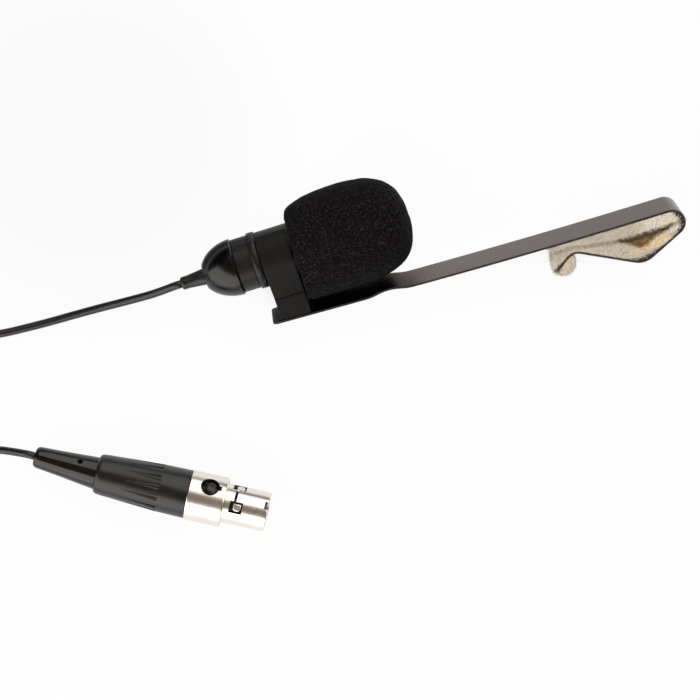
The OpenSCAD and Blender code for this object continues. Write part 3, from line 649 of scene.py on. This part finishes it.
# %% Cord relief
flange_from, flange_to, flange_r = -5.6, -4.9, 2.6
relief_outline = [
    (relief_end, cord_r), (relief_end, 1.2), (relief_end + 0.1, 1.34),
    (relief_end + 0.3, 1.42), (relief_end + 0.8, 1.46), (relief_end + 1.3, 1.42), (-9.5, 1.64),
    (-dome_len - 0.3, 1.84), (flange_from, 1.85), (flange_from, flange_r),
    (flange_to, flange_r), (flange_to, cord_r)]
place("relief_sleeve", spun(relief_outline, 64), head_frame, "microphone", "relief_rubber",
      "black_rubber", ["cable_relief"])

# %% [markdown]
# ## The foam windscreen
#
# The foam is a fat egg with a bore for the housing. It is spun from a smooth outline, pushed a
# little toward the clip arm, where it sags, and then roughened with noise, so that its outline
# has the fine unevenness of cut foam. Cloth simulation would add nothing, because open-cell
# foam keeps its shape.

# %% Foam
foam_at, foam_len, foam_r, foam_shift = 12.9, 26.0, 11.4, 0.6
foam_shares = [
    (0.0, 0.69), (0.03, 0.82), (0.13, 0.92), (0.3, 0.985), (0.47, 1.0), (0.63, 0.98),
    (0.78, 0.9), (0.89, 0.755), (0.96, 0.55), (1.0, 0.26), (1.003, 0.0)]
foam_bore_r, foam_bore_end = 6.0, 28.3
skin = [(foam_at + p.x * foam_len, p.y * foam_r)
        for p in smooth_line([(x, r, 0) for x, r in foam_shares], 11)]
bore = ([(foam_bore_end, r * foam_bore_r / 6) for r in range(6)]
        + [(foam_bore_end - (foam_bore_end - foam_at) * k / 12, foam_bore_r) for k in range(13)])
rim = [(foam_at, foam_bore_r + 0.6), (foam_at, foam_bore_r + 1.2)]
foam = spun(bore + rim + [(x, max(r, 0.0)) for x, r in skin], 176)
for vert in foam.verts:
    x, y, z = vert.co
    radius = (y * y + z * z) ** 0.5
    outer = ease((radius - foam_bore_r - 0.2) / 1.5) if x < foam_bore_end + 0.5 else 1.0
    # The rear edge is cut fuller on the side of the clip arm
    t = (x - foam_at) / foam_len
    full = foam_r * (0.96 + 0.03 * ease(t / 0.04) + 0.01 * ease(t / 0.35))
    if foam_bore_r + 1.3 < radius < full:
        armward = ease((-z / radius - 0.15) / 0.7) * ease((0.62 - t) / 0.2)
        vert.co.yz *= 1 + armward * (full / radius - 1)
    vert.co.z -= foam_shift * outer
    bumps = noise.noise(vert.co * 1.9) * 0.07 + noise.noise(vert.co * 0.45) * 0.12
    vert.co += vert.normal * bumps * outer
foam_piece = place("foam_windscreen_cut", foam, head_frame, "windscreen", "black_foam",
                   "black_foam", ["foam_windscreen"], sharp=60)

# %% [markdown]
# ## The collar
#
# The collar is a split ring with a neck and a foot block, in one moulding. Its shape is right
# in the solid model, so a merged copy is taken and its edges are softened more than those of
# the turned metal. A rivet holds the strip to its foot.

# %% Collar and rivet
softened("collar_moulding", "holder_collar", "holder", "cast_black", "satin_black_metal", 0.3,
         sharper_than=35, segments=3)
softened("rivet_head", "holder_rivet", "holder", "dull_metal", "rivet_metal", 0.1)

# %% [markdown]
# ## The spring-steel arm
#
# On the real object the arm, the nose and the jaw are one bent strip. So here it is one mesh.
# It starts as a single edge, as wide as the strip. Each straight run extrudes that edge, and
# each bend spins it about the bend's middle. The thickness comes last, from a Solidify
# modifier, and the mesh bends at the nose between the two bodies that the joint moves.

# %% Measures of the bent strip
strip_w, strip_t, strip_corner = 9.5, 0.5, 1.1
strip_x, hump_at, hump_h, hump_len = 3.6, 26.4, 0.7, 11.0
arm_len, arm_bow = 89.7, 1.9
hump_turn = 2 * degrees(atan(hump_h / hump_len * 2))
hump_r = hump_len / 4 / sin(radians(hump_turn))
hump_start = hump_at - hump_len / 2
arm_end = arm_len - hump_start - hump_len
# Straight run, bend radius and bend angle of each step
bends = [
    (hump_start, hump_r, -hump_turn), (0, hump_r, hump_turn), (0, hump_r, hump_turn),
    (0, hump_r, -hump_turn), (0, arm_end / radians(arm_bow), -arm_bow), (0, 2.85, 153.4),
    (8.05, 4.35, 54.3), (12.4, 2.75, -63.3), (3.8, 0, 0)]
print("hump: %.1f degrees, radius %.1f mm" % (hump_turn, hump_r))


# %% Bent strip
def polar(angle, length):
    """A flat vector at so many degrees."""
    return Vector((cos(radians(angle)), sin(radians(angle)))) * length


def new_edge(geometry):
    return [g for g in geometry if isinstance(g, bmesh.types.BMEdge)][0]


def bent_strip(width, steps):
    bm = bmesh.new()
    edge = bm.edges.new([bm.verts.new((strip_x, side * width / 2, 0)) for side in (-1, 1)])
    point, angle = Vector((strip_x, 0)), 0.0
    for straight, radius, bend in steps:
        if straight:
            ahead = polar(angle, straight)
            pieces = max(1, ceil(straight / 3))
            for _ in range(pieces):
                edge = new_edge(bmesh.ops.extrude_edge_only(bm, edges=[edge])["geom"])
                bmesh.ops.translate(bm, verts=list(edge.verts),
                                    vec=(ahead.x / pieces, 0, -ahead.y / pieces))
            point += ahead
        if bend:
            side = 90 if bend > 0 else -90
            middle = point + polar(angle + side, radius)
            edge = new_edge(bmesh.ops.spin(
                bm, geom=[edge, *edge.verts], cent=(middle.x, 0, -middle.y), axis=(0, 1, 0),
                angle=radians(bend),
                steps=max(2, ceil(abs(bend) / 5), ceil(radius / 40)))["geom_last"])
            angle += bend
            point = middle - polar(angle + side, radius)
    print("strip ends at x %.2f, h %.2f" % (point.x, point.y))
    return bm


strip_mesh = bent_strip(strip_w, bends)
# The strip's middle line in the side view, for the felt: the points of one long edge in order
strip_line = [(v.co.x, -v.co.z) for v in strip_mesh.verts if v.co.y < 0]
bevel(strip_mesh, [v for v in strip_mesh.verts if v.co.x < strip_x + 0.01], strip_corner, 5,
      affect="VERTICES")
bmesh.ops.recalc_face_normals(strip_mesh, faces=strip_mesh.faces)
strip = place("spring_arm", strip_mesh, arm_frame, None, "spring_steel", "spring_steel",
              ["spring_strip", "spring_jaw"], sharp=50)

# %% [markdown]
# The blend gives each point of the strip a share of both bodies, from none of the jaw at the
# start of the nose bend to all of it at the end, so the steel bends there and nowhere else.


# %% Thickness of the strip, and its bend at the nose
def on_arm(x, h):
    """A point of the clip arm's side view, x along it and h outward, in metres."""
    return metres @ arm_frame @ Vector((x, 0, -h))


wall = strip.modifiers.new("thickness", "SOLIDIFY")
wall.thickness, wall.offset = strip_t * MM, 0
strip.data.materials.append(dark_strip_edge)
wall.material_offset_rim = 1
rounded = strip.modifiers.new("rolled edges", "BEVEL")
rounded.width, rounded.segments = 0.1 * MM, 2
rounded.limit_method, rounded.angle_limit = "ANGLE", radians(50)
keep_flat(strip)
nose_x, nose_from, nose_to = 96, 0.5, 2.1
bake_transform(strip, "holder", "jaw", start=on_arm(nose_x, nose_from), end=on_arm(nose_x, nose_to))

# %% [markdown]
# ## The felt
#
# Each pad starts as the solid model's block. A voxel remesh turns it into an even skin,
# smoothing rounds its cut edges, and noise gives it its unevenness. Then thousands of fine
# cones stand out of the skin as the nap: felt looks soft because its outline has no clear end.
# Five attributes say how strongly each place is tinted: pale, warm, amber, dark and black.

# %% Measures in the side view of the hook
felt_top, felt_rear = -4.6, 69
slit = [(80.55, 2.6), (93.39, 2.17), (85.99, 5.43)]
slit_floor = [(81.3, 2.72), (92.7, 2.36), (86.0, 5.2)]
seams = [(95.9, 1.9), (93.39, 2.13), (80.55, 2.61), (74.19, 1.76), (71.44, 1.26), (66.85, 1.36)]
nose_at, belly_at, warm_at = 95.5, 86.5, (89.3, 5.4)


def away_from(line, x, h):
    """Distance of a point from a broken line."""
    best = 1e9
    for (ax, ah), (bx, bh) in zip(line, line[1:]):
        span = (bx - ax) ** 2 + (bh - ah) ** 2 or 1.0
        t = min(1.0, max(0.0, ((x - ax) * (bx - ax) + (h - ah) * (bh - ah)) / span))
        best = min(best, ((x - ax - t * (bx - ax)) ** 2 + (h - ah - t * (bh - ah)) ** 2) ** 0.5)
    return best


def depth_in(corners, x, h):
    """How far inside a triangle a point is. It is negative outside."""
    inside = 1e9
    for (ax, ah), (bx, bh) in zip(corners, corners[1:] + corners[:1]):
        across = (bx - ax) * (h - ah) - (bh - ah) * (x - ax)
        inside = min(inside, across / ((bx - ax) ** 2 + (bh - ah) ** 2) ** 0.5)
    return inside


# %% [markdown]
# Where a tint lies has a reason on each real pad. The hollow between the layers is dark above,
# as painted shade, and amber below, partly a real stain and partly painted shade. The lower layer
# is warm with old glue, and the rim along the steel is painted black as the steel's shadow, most
# where the strip bends.


# %% Stains and painted shade of the felt
def stain_and_shade_at(p):
    """How pale, warm, amber, dark and black the felt is at a point."""
    x, h = p.x, -p.z
    wave = noise.noise(p * 0.9) * 0.5 + noise.noise(p * 2.7) * 0.3
    inside = depth_in(slit, x, h)
    # Painted shade in the hollow: dark above, amber below, the amber partly a real stain
    low = ease((h - 2.7 + wave * 0.8) / 1.8) * ease((92.5 - x) / 3)
    hollow = ease((inside + 0.7 + wave * 0.9) / 1.5) * ease((x - 77.5) / 5)
    belly = ease(1 - ((x - warm_at[0]) ** 2 / 30 + (h - warm_at[1]) ** 2 / 5) * 0.8 + wave * 0.6)
    curved = max(ease(1 - abs(x - nose_at) / 2.5) * 0.9,
                 ease(1 - abs(x - belly_at) / 6) * ease((h - 4) / 2) * 0.7,
                 ease((felt_rear - x) / 2) * ease((h - 3) / 1) * 0.3, 0.04)
    speckle = noise.noise(p * 3.1) * 1.1 * curved
    # Painted shadow of the steel: black along the strip's line, widest where it bends
    near_rim = 1 - ease((away_from(strip_line, x, h) - 0.25) / (0.2 + 1.9 * curved))
    return {"pale": ease((x - 84) / 6) * ease((4.4 - h) / 1.5) * 0.75,
            "warm": max(belly * 0.5 + wave * 0.2, ease((inside + 1.2) / 1.2) * 0.3),
            "amber": hollow * low,
            "dark": hollow * (1 - low) * 1.05,
            "black": near_rim * (0.3 + 0.45 * curved + speckle)}


# %% Tools for felt
def felt_prism(bm, outline, top, deep):
    """A flat outline of the side view, extruded across the arm."""
    face = bm.faces.new([bm.verts.new((x, top, -h)) for x, h in outline])
    moved = bmesh.ops.extrude_face_region(bm, geom=[face])["geom"]
    bmesh.ops.translate(bm, verts=[g for g in moved if isinstance(g, bmesh.types.BMVert)],
                        vec=(0, deep, 0))
    bmesh.ops.recalc_face_normals(bm, faces=bm.faces)


def skinned(bm, voxel):
    """The same solid with an even skin of small faces."""
    block = as_object("block", as_mesh("block", bm))
    remesh = block.modifiers.new("skin", "REMESH")
    remesh.mode, remesh.voxel_size = "VOXEL", voxel
    return after_modifiers(block)


# %% [markdown]
# A fibre is a cone of three sides, which is the least that still has thickness. It takes the
# tints of the face that it stands on. The fixed seed keeps every fibre in its place.

# %% Nap of the felt
fibre_root_r, fibre_tip_r, fibre_lean, batch_size = 0.045, 0.012, 1.1, 60


def at_seam(face):
    """Faces on the lips between the layers, and along the outline of the hollow."""
    x, h = face.verts[0].co.x, -face.verts[0].co.z
    return face.normal.y < -0.1 and (away_from(seams, x, h) < 0.45
                                     or abs(depth_in(slit, x, h)) < 0.3)


def nap(bm, count, seed):
    """Fine slanted fibres on the skin. They stand closer on top."""
    chance = random.Random(seed)
    faces = [f for f in bm.faces if f.normal.y < -0.25 or chance.random() < 0.3]
    layers = [bm.verts.layers.float[name] for name in tints]
    roots = []
    # Every face at the seam gets one, so that the nap closes over it
    for face in chance.sample(faces, min(count, len(faces))) + [f for f in bm.faces if at_seam(f)]:
        lean = Vector((chance.uniform(-1, 1), chance.uniform(-1, 1), chance.uniform(-1, 1)))
        way = (face.normal + lean * fibre_lean).normalized()
        shades = [sum(v[layer] for v in face.verts) / len(face.verts) for layer in layers]
        if way.dot(face.normal) > 0.1:
            roots.append((face.calc_center_median(), way, chance.uniform(0.3, 0.8), shades))
    # Small batches are quick, because an operator takes longer on a larger mesh
    for start in range(0, len(roots), batch_size):
        batch = bmesh.new()
        batch_layers = [batch.verts.layers.float.new(name) for name in tints]
        for root, way, length, shades in roots[start:start + batch_size]:
            stand = (Matrix.Translation(root + way * length * 0.4)
                     @ way.to_track_quat("Z", "Y").to_matrix().to_4x4())
            made = bmesh.ops.create_cone(batch, cap_ends=False, segments=3, depth=length,
                                         radius1=fibre_root_r, radius2=fibre_tip_r, matrix=stand)
            for vert in made["verts"]:
                for layer, shade in zip(batch_layers, shades):
                    vert[layer] = shade
        join(bm, batch)
    print("fibres:", len(roots))


# %% Felt pads
felt_voxel, felt_growth, felt_slant = 0.22, 0.095, 0.13


def felt_pad(name, node, body, prisms, fibres, seed):
    block = cad_copy_in(node, arm_frame)
    for outline, top, deep in prisms:
        felt_prism(block, outline, top, deep)
    bm = skinned(block, felt_voxel)
    for _ in range(2):
        bmesh.ops.smooth_vert(bm, verts=bm.verts, factor=0.5, use_axis_x=True, use_axis_y=True,
                              use_axis_z=True)
    bm.normal_update()
    layers = {name: bm.verts.layers.float.new(name) for name in tints}
    for vert in bm.verts:
        p = vert.co
        free = ease((away_from(seams, p.x, -p.z) - 0.15) / 0.6)
        rough = noise.noise(p * 2.4) * 0.09 + noise.noise(p * 6.5) * 0.06
        for stain_and_shade, amount in stain_and_shade_at(p).items():
            vert[layers[stain_and_shade]] = amount
        sideways = (1 - free) * (1 - abs(vert.normal.y))
        vert.co = p + vert.normal * (felt_growth + 0.16 * sideways + rough * free)
        # The seam's lips are pressed together, so they stay as high as the pad
        lip = (1 - free) * ease((felt_top + 1 - p.y) / 0.6)
        vert.co.y += (felt_top - 0.1 + rough - vert.co.y) * lip
        # The rear end is cut on a slant
        vert.co.x += felt_slant * (p.y - felt_top) * ease((felt_rear - p.x) / 2.5)
    nap(bm, fibres, seed)
    piece = place(name, bm, arm_frame, body, "cream_felt", "cream_felt", [node], sharp=180)


felt_pad("felt_arm_side", "felt_upper", "holder", [], 3000, 3)
# The jaw-side pad gets a shallow floor across the hollow, which carries the hollow's painted shade
felt_pad("felt_jaw_side", "felt_lower", "jaw", [(slit_floor, felt_top + 0.55, 2.5)], 4500, 5)

# %% [markdown]
# ## The plug
#
# The shell is bright nickel, so every edge of it counts. It is spun fine, and its button hole,
# latch windows and key slot are cut with a Boolean, whose result is kept as the mesh.

# %% Measures of the plug, and a cutting tool
grip_len, shell_len, plug_len = 20.8, 8.1, 9.8
shell_r, plug_r, shell_bore_r = 5.55, 4.35, 3.7
step_at, spigot_at = grip_len + shell_len, grip_len - 7.4
plug_end, window_at = step_at + plug_len, step_at + 1.35
button_at, button_hole_r = grip_len + 4.5, 2.1
window_angle, window_w, window_len, key_turn = 38, 2.6, 2.9, 11.5


def box_cutter(bm, low, high, spin_x=0.0):
    made = bmesh.ops.create_cube(bm, size=1)["verts"]
    bmesh.ops.scale(bm, verts=made, vec=Vector(high) - Vector(low))
    bmesh.ops.translate(bm, verts=made, vec=(Vector(high) + Vector(low)) / 2)
    rotate(bm, made, spin_x, "X")


def cut(bm, cutters):
    """The first mesh with the second taken away."""
    blank = as_object("blank", as_mesh("blank", bm))
    tool = as_object("cutters", as_mesh("cutters", cutters))
    boolean = blank.modifiers.new("cut", "BOOLEAN")
    boolean.operation, boolean.solver, boolean.object = "DIFFERENCE", "EXACT", tool
    boolean.use_self = True
    result = after_modifiers(blank)
    bpy.data.objects.remove(tool)
    bmesh.ops.remove_doubles(result, verts=result.verts, dist=1e-4)
    return result


# %% Shell
shell_outline = [
    (spigot_at, shell_bore_r), (spigot_at, plug_r), (grip_len, plug_r),
    (grip_len, shell_r - 0.2), (grip_len + 0.06, shell_r - 0.07), (grip_len + 0.2, shell_r),
    (step_at - 0.28, shell_r), (step_at - 0.08, shell_r - 0.08), (step_at, shell_r - 0.28),
    (step_at, plug_r + 0.1), (step_at + 0.1, plug_r), (plug_end - 0.35, plug_r),
    (plug_end - 0.1, plug_r - 0.1), (plug_end, plug_r - 0.35), (plug_end, shell_bore_r + 0.12),
    (plug_end - 0.12, shell_bore_r)]
shell_cutters = bmesh.new()
hole = bmesh.ops.create_cone(shell_cutters, cap_ends=True, segments=48, depth=6,
                             radius1=button_hole_r, radius2=button_hole_r)["verts"]
bmesh.ops.translate(shell_cutters, verts=hole, vec=(button_at, 0, 5))
box_cutter(shell_cutters, (button_at, -0.6, 2), (button_at + button_hole_r + 0.5, 0.6, 8))
for side in (-1, 1):
    box_cutter(shell_cutters, (window_at, -window_w / 2, 2),
               (window_at + window_len, window_w / 2, 8), side * window_angle)
# A slot joins the two windows, in seven flat cuts that follow the round
for k in range(-3, 4):
    box_cutter(shell_cutters, (window_at + 0.75, -0.5, 3), (window_at + 1.35, 0.5, 8),
               k * window_angle / 4)
box_cutter(shell_cutters, (plug_end - 0.9, -0.9, 3), (plug_end + 1, 0.9, 8), key_turn)
place("plug_shell_nickel", cut(spun(shell_outline, 128), shell_cutters), plug_frame,
      "microphone", "nickel", "nickel_plate", ["plug_shell"], sharp=30, flat=True)

# %% [markdown]
# The grip has fourteen scoops for the fingers. Each is cut by a cone whose point lies in the
# surface and whose axis rises out of it, so the scoop starts as a line and ends in a step.

# %% Grip with its scoops
grip_outline = [
    (0, 3.65), (0, 3.8), (0.06, 4.02), (0.2, 4.22), (0.45, 4.38), (0.85, 4.48), (1.5, 4.55),
    (8, 4.95), (14.4, 5.3), (grip_len - 0.2, 5.4), (grip_len - 0.06, 5.36), (grip_len, 5.25),
    (grip_len, 4.4), (spigot_at, 4.4), (spigot_at, 3.95), (1, 3.95), (1, 3.65)]
scoop_from, scoop_to = Vector((6.2, 0, 4.84)), Vector((14.4, 0, 5.56))
scoop_tip_r, scoop_r, scoop_count, scoop_turn = 0.02, 0.86, 14, 5
scoop_way = scoop_to - scoop_from
stand = (Matrix.Translation((scoop_from + scoop_to) / 2)
         @ scoop_way.to_track_quat("Z", "Y").to_matrix().to_4x4())
scoops = bmesh.new()
for k in range(scoop_count):
    around = Matrix.Rotation(radians(scoop_turn) + 2 * pi * k / scoop_count, 4, "X")
    bmesh.ops.create_cone(scoops, cap_ends=True, segments=24, radius1=scoop_tip_r,
                          radius2=scoop_r, depth=scoop_way.length, matrix=around @ stand)
place("grip_moulding", cut(spun(grip_outline, 112), scoops), plug_frame, "microphone",
      "grip_plastic", "grip_plastic", ["plug_grip"], sharp=30)

# %% [markdown]
# The boot is one soft moulding. A row of small rounded points in its outline gives it a lip at
# the thin end, where the cord goes in, and a soft shoulder at the grip. A small dimple marks
# where the mould was filled.

# %% Boot
boot_tip = -boot_len
boot_outline = [
    (boot_tip, cord_r), (boot_tip, 1.7), (boot_tip + 0.12, 2.05), (boot_tip + 0.45, 2.3),
    (boot_tip + 0.9, 2.42), (-8, 2.85), (-2, 3.42), (-0.4, 3.58), (0.0, 3.59), (0.0, cord_r)]
dimple_at, dimple_turn = (-4, 0, 3.3), -33
dimple = bmesh.new()
bmesh.ops.create_cone(dimple, cap_ends=True, segments=32, radius1=0.55, radius2=0.7, depth=2.6,
                      matrix=turn(dimple_turn, "X") @ Matrix.Translation(dimple_at))
place("boot_sleeve", cut(spun(boot_outline, 72), dimple), boot_frame, "microphone",
      "boot_rubber", "black_rubber", ["plug_boot"], sharp=45)

# %% [markdown]
# The latch button is a shallow dome on its peg. It is spun about the X axis like the other
# turned pieces, then stood upright and lifted into its hole.

# %% Latch button
button_round, button_top, button_seat = 2.4, 1.8, 3.45
button_outline = [(0.0, 0.0), (0.0, 1.65), (0.1, 1.75)]
for angle in range(46, 0, -2):
    button_outline.append((button_top - button_round * (1 - cos(radians(angle))),
                           button_round * sin(radians(angle))))
button = spun(button_outline + [(button_top, 0.0)], 64)
rotate(button, button.verts, -90, "Y")
bmesh.ops.translate(button, verts=button.verts, vec=(button_at, 0, button_seat))
place("button_cap", button, plug_frame, "latch", "gloss_black", "button_plastic",
      ["latch_button"], sharp=40)

# %% [markdown]
# The leaf under the windows carries two teeth. Only the teeth reach the light, so they are made
# again with round corners, and the rest of the leaf is kept from the solid model. The finish of
# the leaf darkens toward the axis of the plug, as painted shade for the dark inside the shell.

# %% Latch leaf
tooth_foot, tooth_top, tooth_back = 3.2, 4.3, 0.3
tooth_len, tooth_w, tooth_corner, tooth_crown = window_len - 1.1, window_w - 0.9, 0.7, 0.3
tooth_middle = (window_at + window_len - tooth_back - tooth_len / 2, 0,
                (tooth_top + tooth_foot) / 2)
old_teeth_r = 3.9
leaf = cad_copy_in("latch_leaf", plug_frame)
bmesh.ops.delete(leaf, geom=[v for v in leaf.verts if v.co.yz.length > old_teeth_r],
                 context="VERTS")
bmesh.ops.holes_fill(leaf, edges=[e for e in leaf.edges if e.is_boundary])
for side in (-1, 1):
    tooth = bmesh.new()
    bmesh.ops.create_cube(tooth, size=1)
    bmesh.ops.scale(tooth, verts=tooth.verts, vec=(tooth_len, tooth_w, tooth_top - tooth_foot))
    # Its two corners that lie away from the other tooth are round
    bevel(tooth, [e for e in tooth.edges if e.verts[0].co.z * e.verts[1].co.z < 0
                  and e.verts[0].co.y * side < 0], tooth_corner, 6)
    bevel(tooth, [e for e in tooth.edges if min(v.co.z for v in e.verts) > 0], tooth_crown, 4)
    bmesh.ops.translate(tooth, verts=tooth.verts, vec=tooth_middle)
    rotate(tooth, tooth.verts, side * window_angle, "X")
    join(leaf, tooth)
place("latch_spring", leaf, plug_frame, "latch", "leaf_metal", "latch_metal", ["latch_leaf"],
      flat=True)

# %% [markdown]
# ## The tie band
#
# A short strap holds the coil. It goes over the bundle and down both sides.

# %% Band
tie = softened("tie_strap", "coil_tie", "microphone", "tie_fabric", "tie_band", 0.18,
               sharper_than=35, flat=False)

# %% [markdown]
# ## Kept nodes
#
# The pieces inside the head and the plug are kept as the solid model has them, and only get
# their finish.

# %% Finishes of the kept nodes
kept = {
    "cable_tail": "cord_jacket", "cable_crimp": "dull_metal", "cable_leads": "wire_red",
    "preamp_board": "board_green", "board_components": "part_tan", "capsule_leads": "copper_wire",
    "capsule": "dull_metal", "capsule_gasket": "relief_rubber", "rear_mesh": "dull_metal",
    "grille_mesh": "dull_metal", "plug_cable_tail": "cord_jacket", "cable_chuck": "insert_black",
    "plug_leads": "wire_red", "contact_insert": "insert_black", "contact_sockets": "gold",
}
for node, look in kept.items():
    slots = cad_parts[node].data.materials
    slots.clear()
    slots.append(looks[look])
cord_curve.materials.append(looks["cord_jacket"])
print("kept nodes:", len(kept))

# %% [markdown]

# %% [markdown]
# ## Table and light
#
# The table is white and stays white in the picture and in every mirror-like surface, yet it
# still takes a faint shadow, and a painted shadow where the object closes it in. Two large soft
# lamps stand on either side, because black pieces show their shape only by what they mirror, and
# between the lamps the sky is left dim. Behind the dome a dark patch is painted on the table,
# which mirrors see much more than the camera: a painted reflection that gives the dome its black
# side.

# %% Table
camera_share, mirror_share, shadow_reach = 0.94, 0.7, 14
# A painted dark patch on the table behind the dome, for the dome's black side
dark_patch_at, dark_patch_r, dark_patch_shade, table_half = (-66, 46, 0), 25, 0.12, 3


def table_finish():
    material, tree, shader = shader_nodes("white_table")
    path = add(tree, "LightPath").outputs
    by_camera = path["Is Camera Ray"]
    seen = maths(tree, "ADD", by_camera, path["Is Glossy Ray"], clamp=True)
    seen = maths(tree, "ADD", seen, path["Is Transmission Ray"], clamp=True)
    # The table is painted darker toward the dark patch's middle
    from_dark_patch = add(tree, "VectorMath", add(tree, "NewGeometry").outputs["Position"],
                    Vector(dark_patch_at) * MM, operation="DISTANCE").outputs["Value"]
    dark_patch = add(tree, "MapRange", from_dark_patch, dark_patch_r * MM, 2 * dark_patch_r * MM, dark_patch_shade,
               1.0).outputs["Result"]
    # Straight sight shows the table nearly white; mirrors keep more of the shadow on it
    share = add(tree, "Mix", data_type="FLOAT", Factor=by_camera, B=camera_share,
                A=maths(tree, "MULTIPLY", dark_patch, mirror_share)).outputs["Result"]
    # Painted shadow: where the object closes the table in, the white fades out
    open_share = add(tree, "AmbientOcclusion", Distance=shadow_reach * MM,
                     samples=8).outputs["AO"]
    white_outside_painted_shadow = add(tree, "Mix", data_type="FLOAT", Factor=by_camera,
                    A=ramp(tree, open_share, [(0.42, (0, 0, 0)), (0.58, (1, 1, 1))]),
                    B=ramp(tree, open_share, [(0.12, (0, 0, 0)), (0.28, (1, 1, 1))]))
    white = maths(tree, "MULTIPLY", maths(tree, "MULTIPLY", seen, share),
                  white_outside_painted_shadow.outputs["Result"])
    # Painted shadow in the table's own colour, where the object closes it in
    floor_colour_painted_shadow = ramp(tree, open_share, [(0.3, (0.03, 0.03, 0.03)), (0.5, (0.9, 0.9, 0.9))])
    feed(tree, shader, {"Base Color": multiplied(tree, floor_colour_painted_shadow, dark_patch), "Roughness": 0.9,
                        "Specular IOR Level": 0.0})
    glow = add(tree, "Emission", Strength=1.0).outputs["Emission"]
    mix = add(tree, "MixShader", white, shader.outputs["BSDF"], glow).outputs["Shader"]
    feed(tree, tree.nodes["Material Output"], {"Surface": mix})
    return material


table = bmesh.new()
bmesh.ops.create_grid(table, x_segments=1, y_segments=1, size=table_half)
table_piece = as_object("table", as_mesh("table", table))
table_piece.data.materials.append(table_finish())

# %% [markdown]
# The sky is white where the camera sees it. For everything else it is warm and dim overhead
# and nearly black toward the horizon, which leaves the lamps as the only bright shapes.


# %% Sky
def sky():
    world = bpy.data.worlds.new("studio")
    world.use_nodes = True
    tree = world.node_tree
    dim = tree.nodes["Background"]
    parts = add(tree, "SeparateXYZ", add(tree, "TexCoord").outputs["Generated"])
    feed(tree, dim, {"Strength": 1.0, "Color": ramp(tree, parts.outputs["Z"], [
        (0.6, (0.012, 0.011, 0.01)), (0.93, (0.16, 0.126, 0.095))])})
    white = add(tree, "Background", Strength=1.0).outputs["Background"]
    by_camera = add(tree, "LightPath").outputs["Is Camera Ray"]
    mix = add(tree, "MixShader", by_camera, dim.outputs["Background"], white)
    feed(tree, tree.nodes["World Output"], {"Surface": mix.outputs["Shader"]})
    scene.world = world


sky()

# %% Soft boxes
box_away = 1.0


def soft_box(name, heading, low, high, half_width, radiance, colour):
    """A rectangle of light that fills the given angles, seen from the middle of the table."""
    rise, half = radians((low + high) / 2), radians((high - low) / 2)
    way = Vector((cos(radians(heading)) * cos(rise), sin(radians(heading)) * cos(rise),
                  sin(rise)))
    lamp = bpy.data.lights.new(name, "AREA")
    lamp.shape = "RECTANGLE"
    lamp.size, lamp.size_y = 2 * box_away * tan(radians(half_width)), 2 * box_away * tan(half)
    lamp.energy, lamp.color = radiance * pi * lamp.size * lamp.size_y, colour
    box = as_object(name, lamp)
    box.location = way * box_away
    box.rotation_euler = (-way).to_track_quat("-Z", "Y").to_euler()
    print("%s: %.2f by %.2f m, %.1f W" % (name, lamp.size, lamp.size_y, lamp.energy))


soft_box("far_box", 36, 10, 75, 48, 1.7, (1.0, 0.975, 0.95))
soft_box("near_box", -147, 2, 54, 46, 2.6, (1.0, 0.965, 0.94))
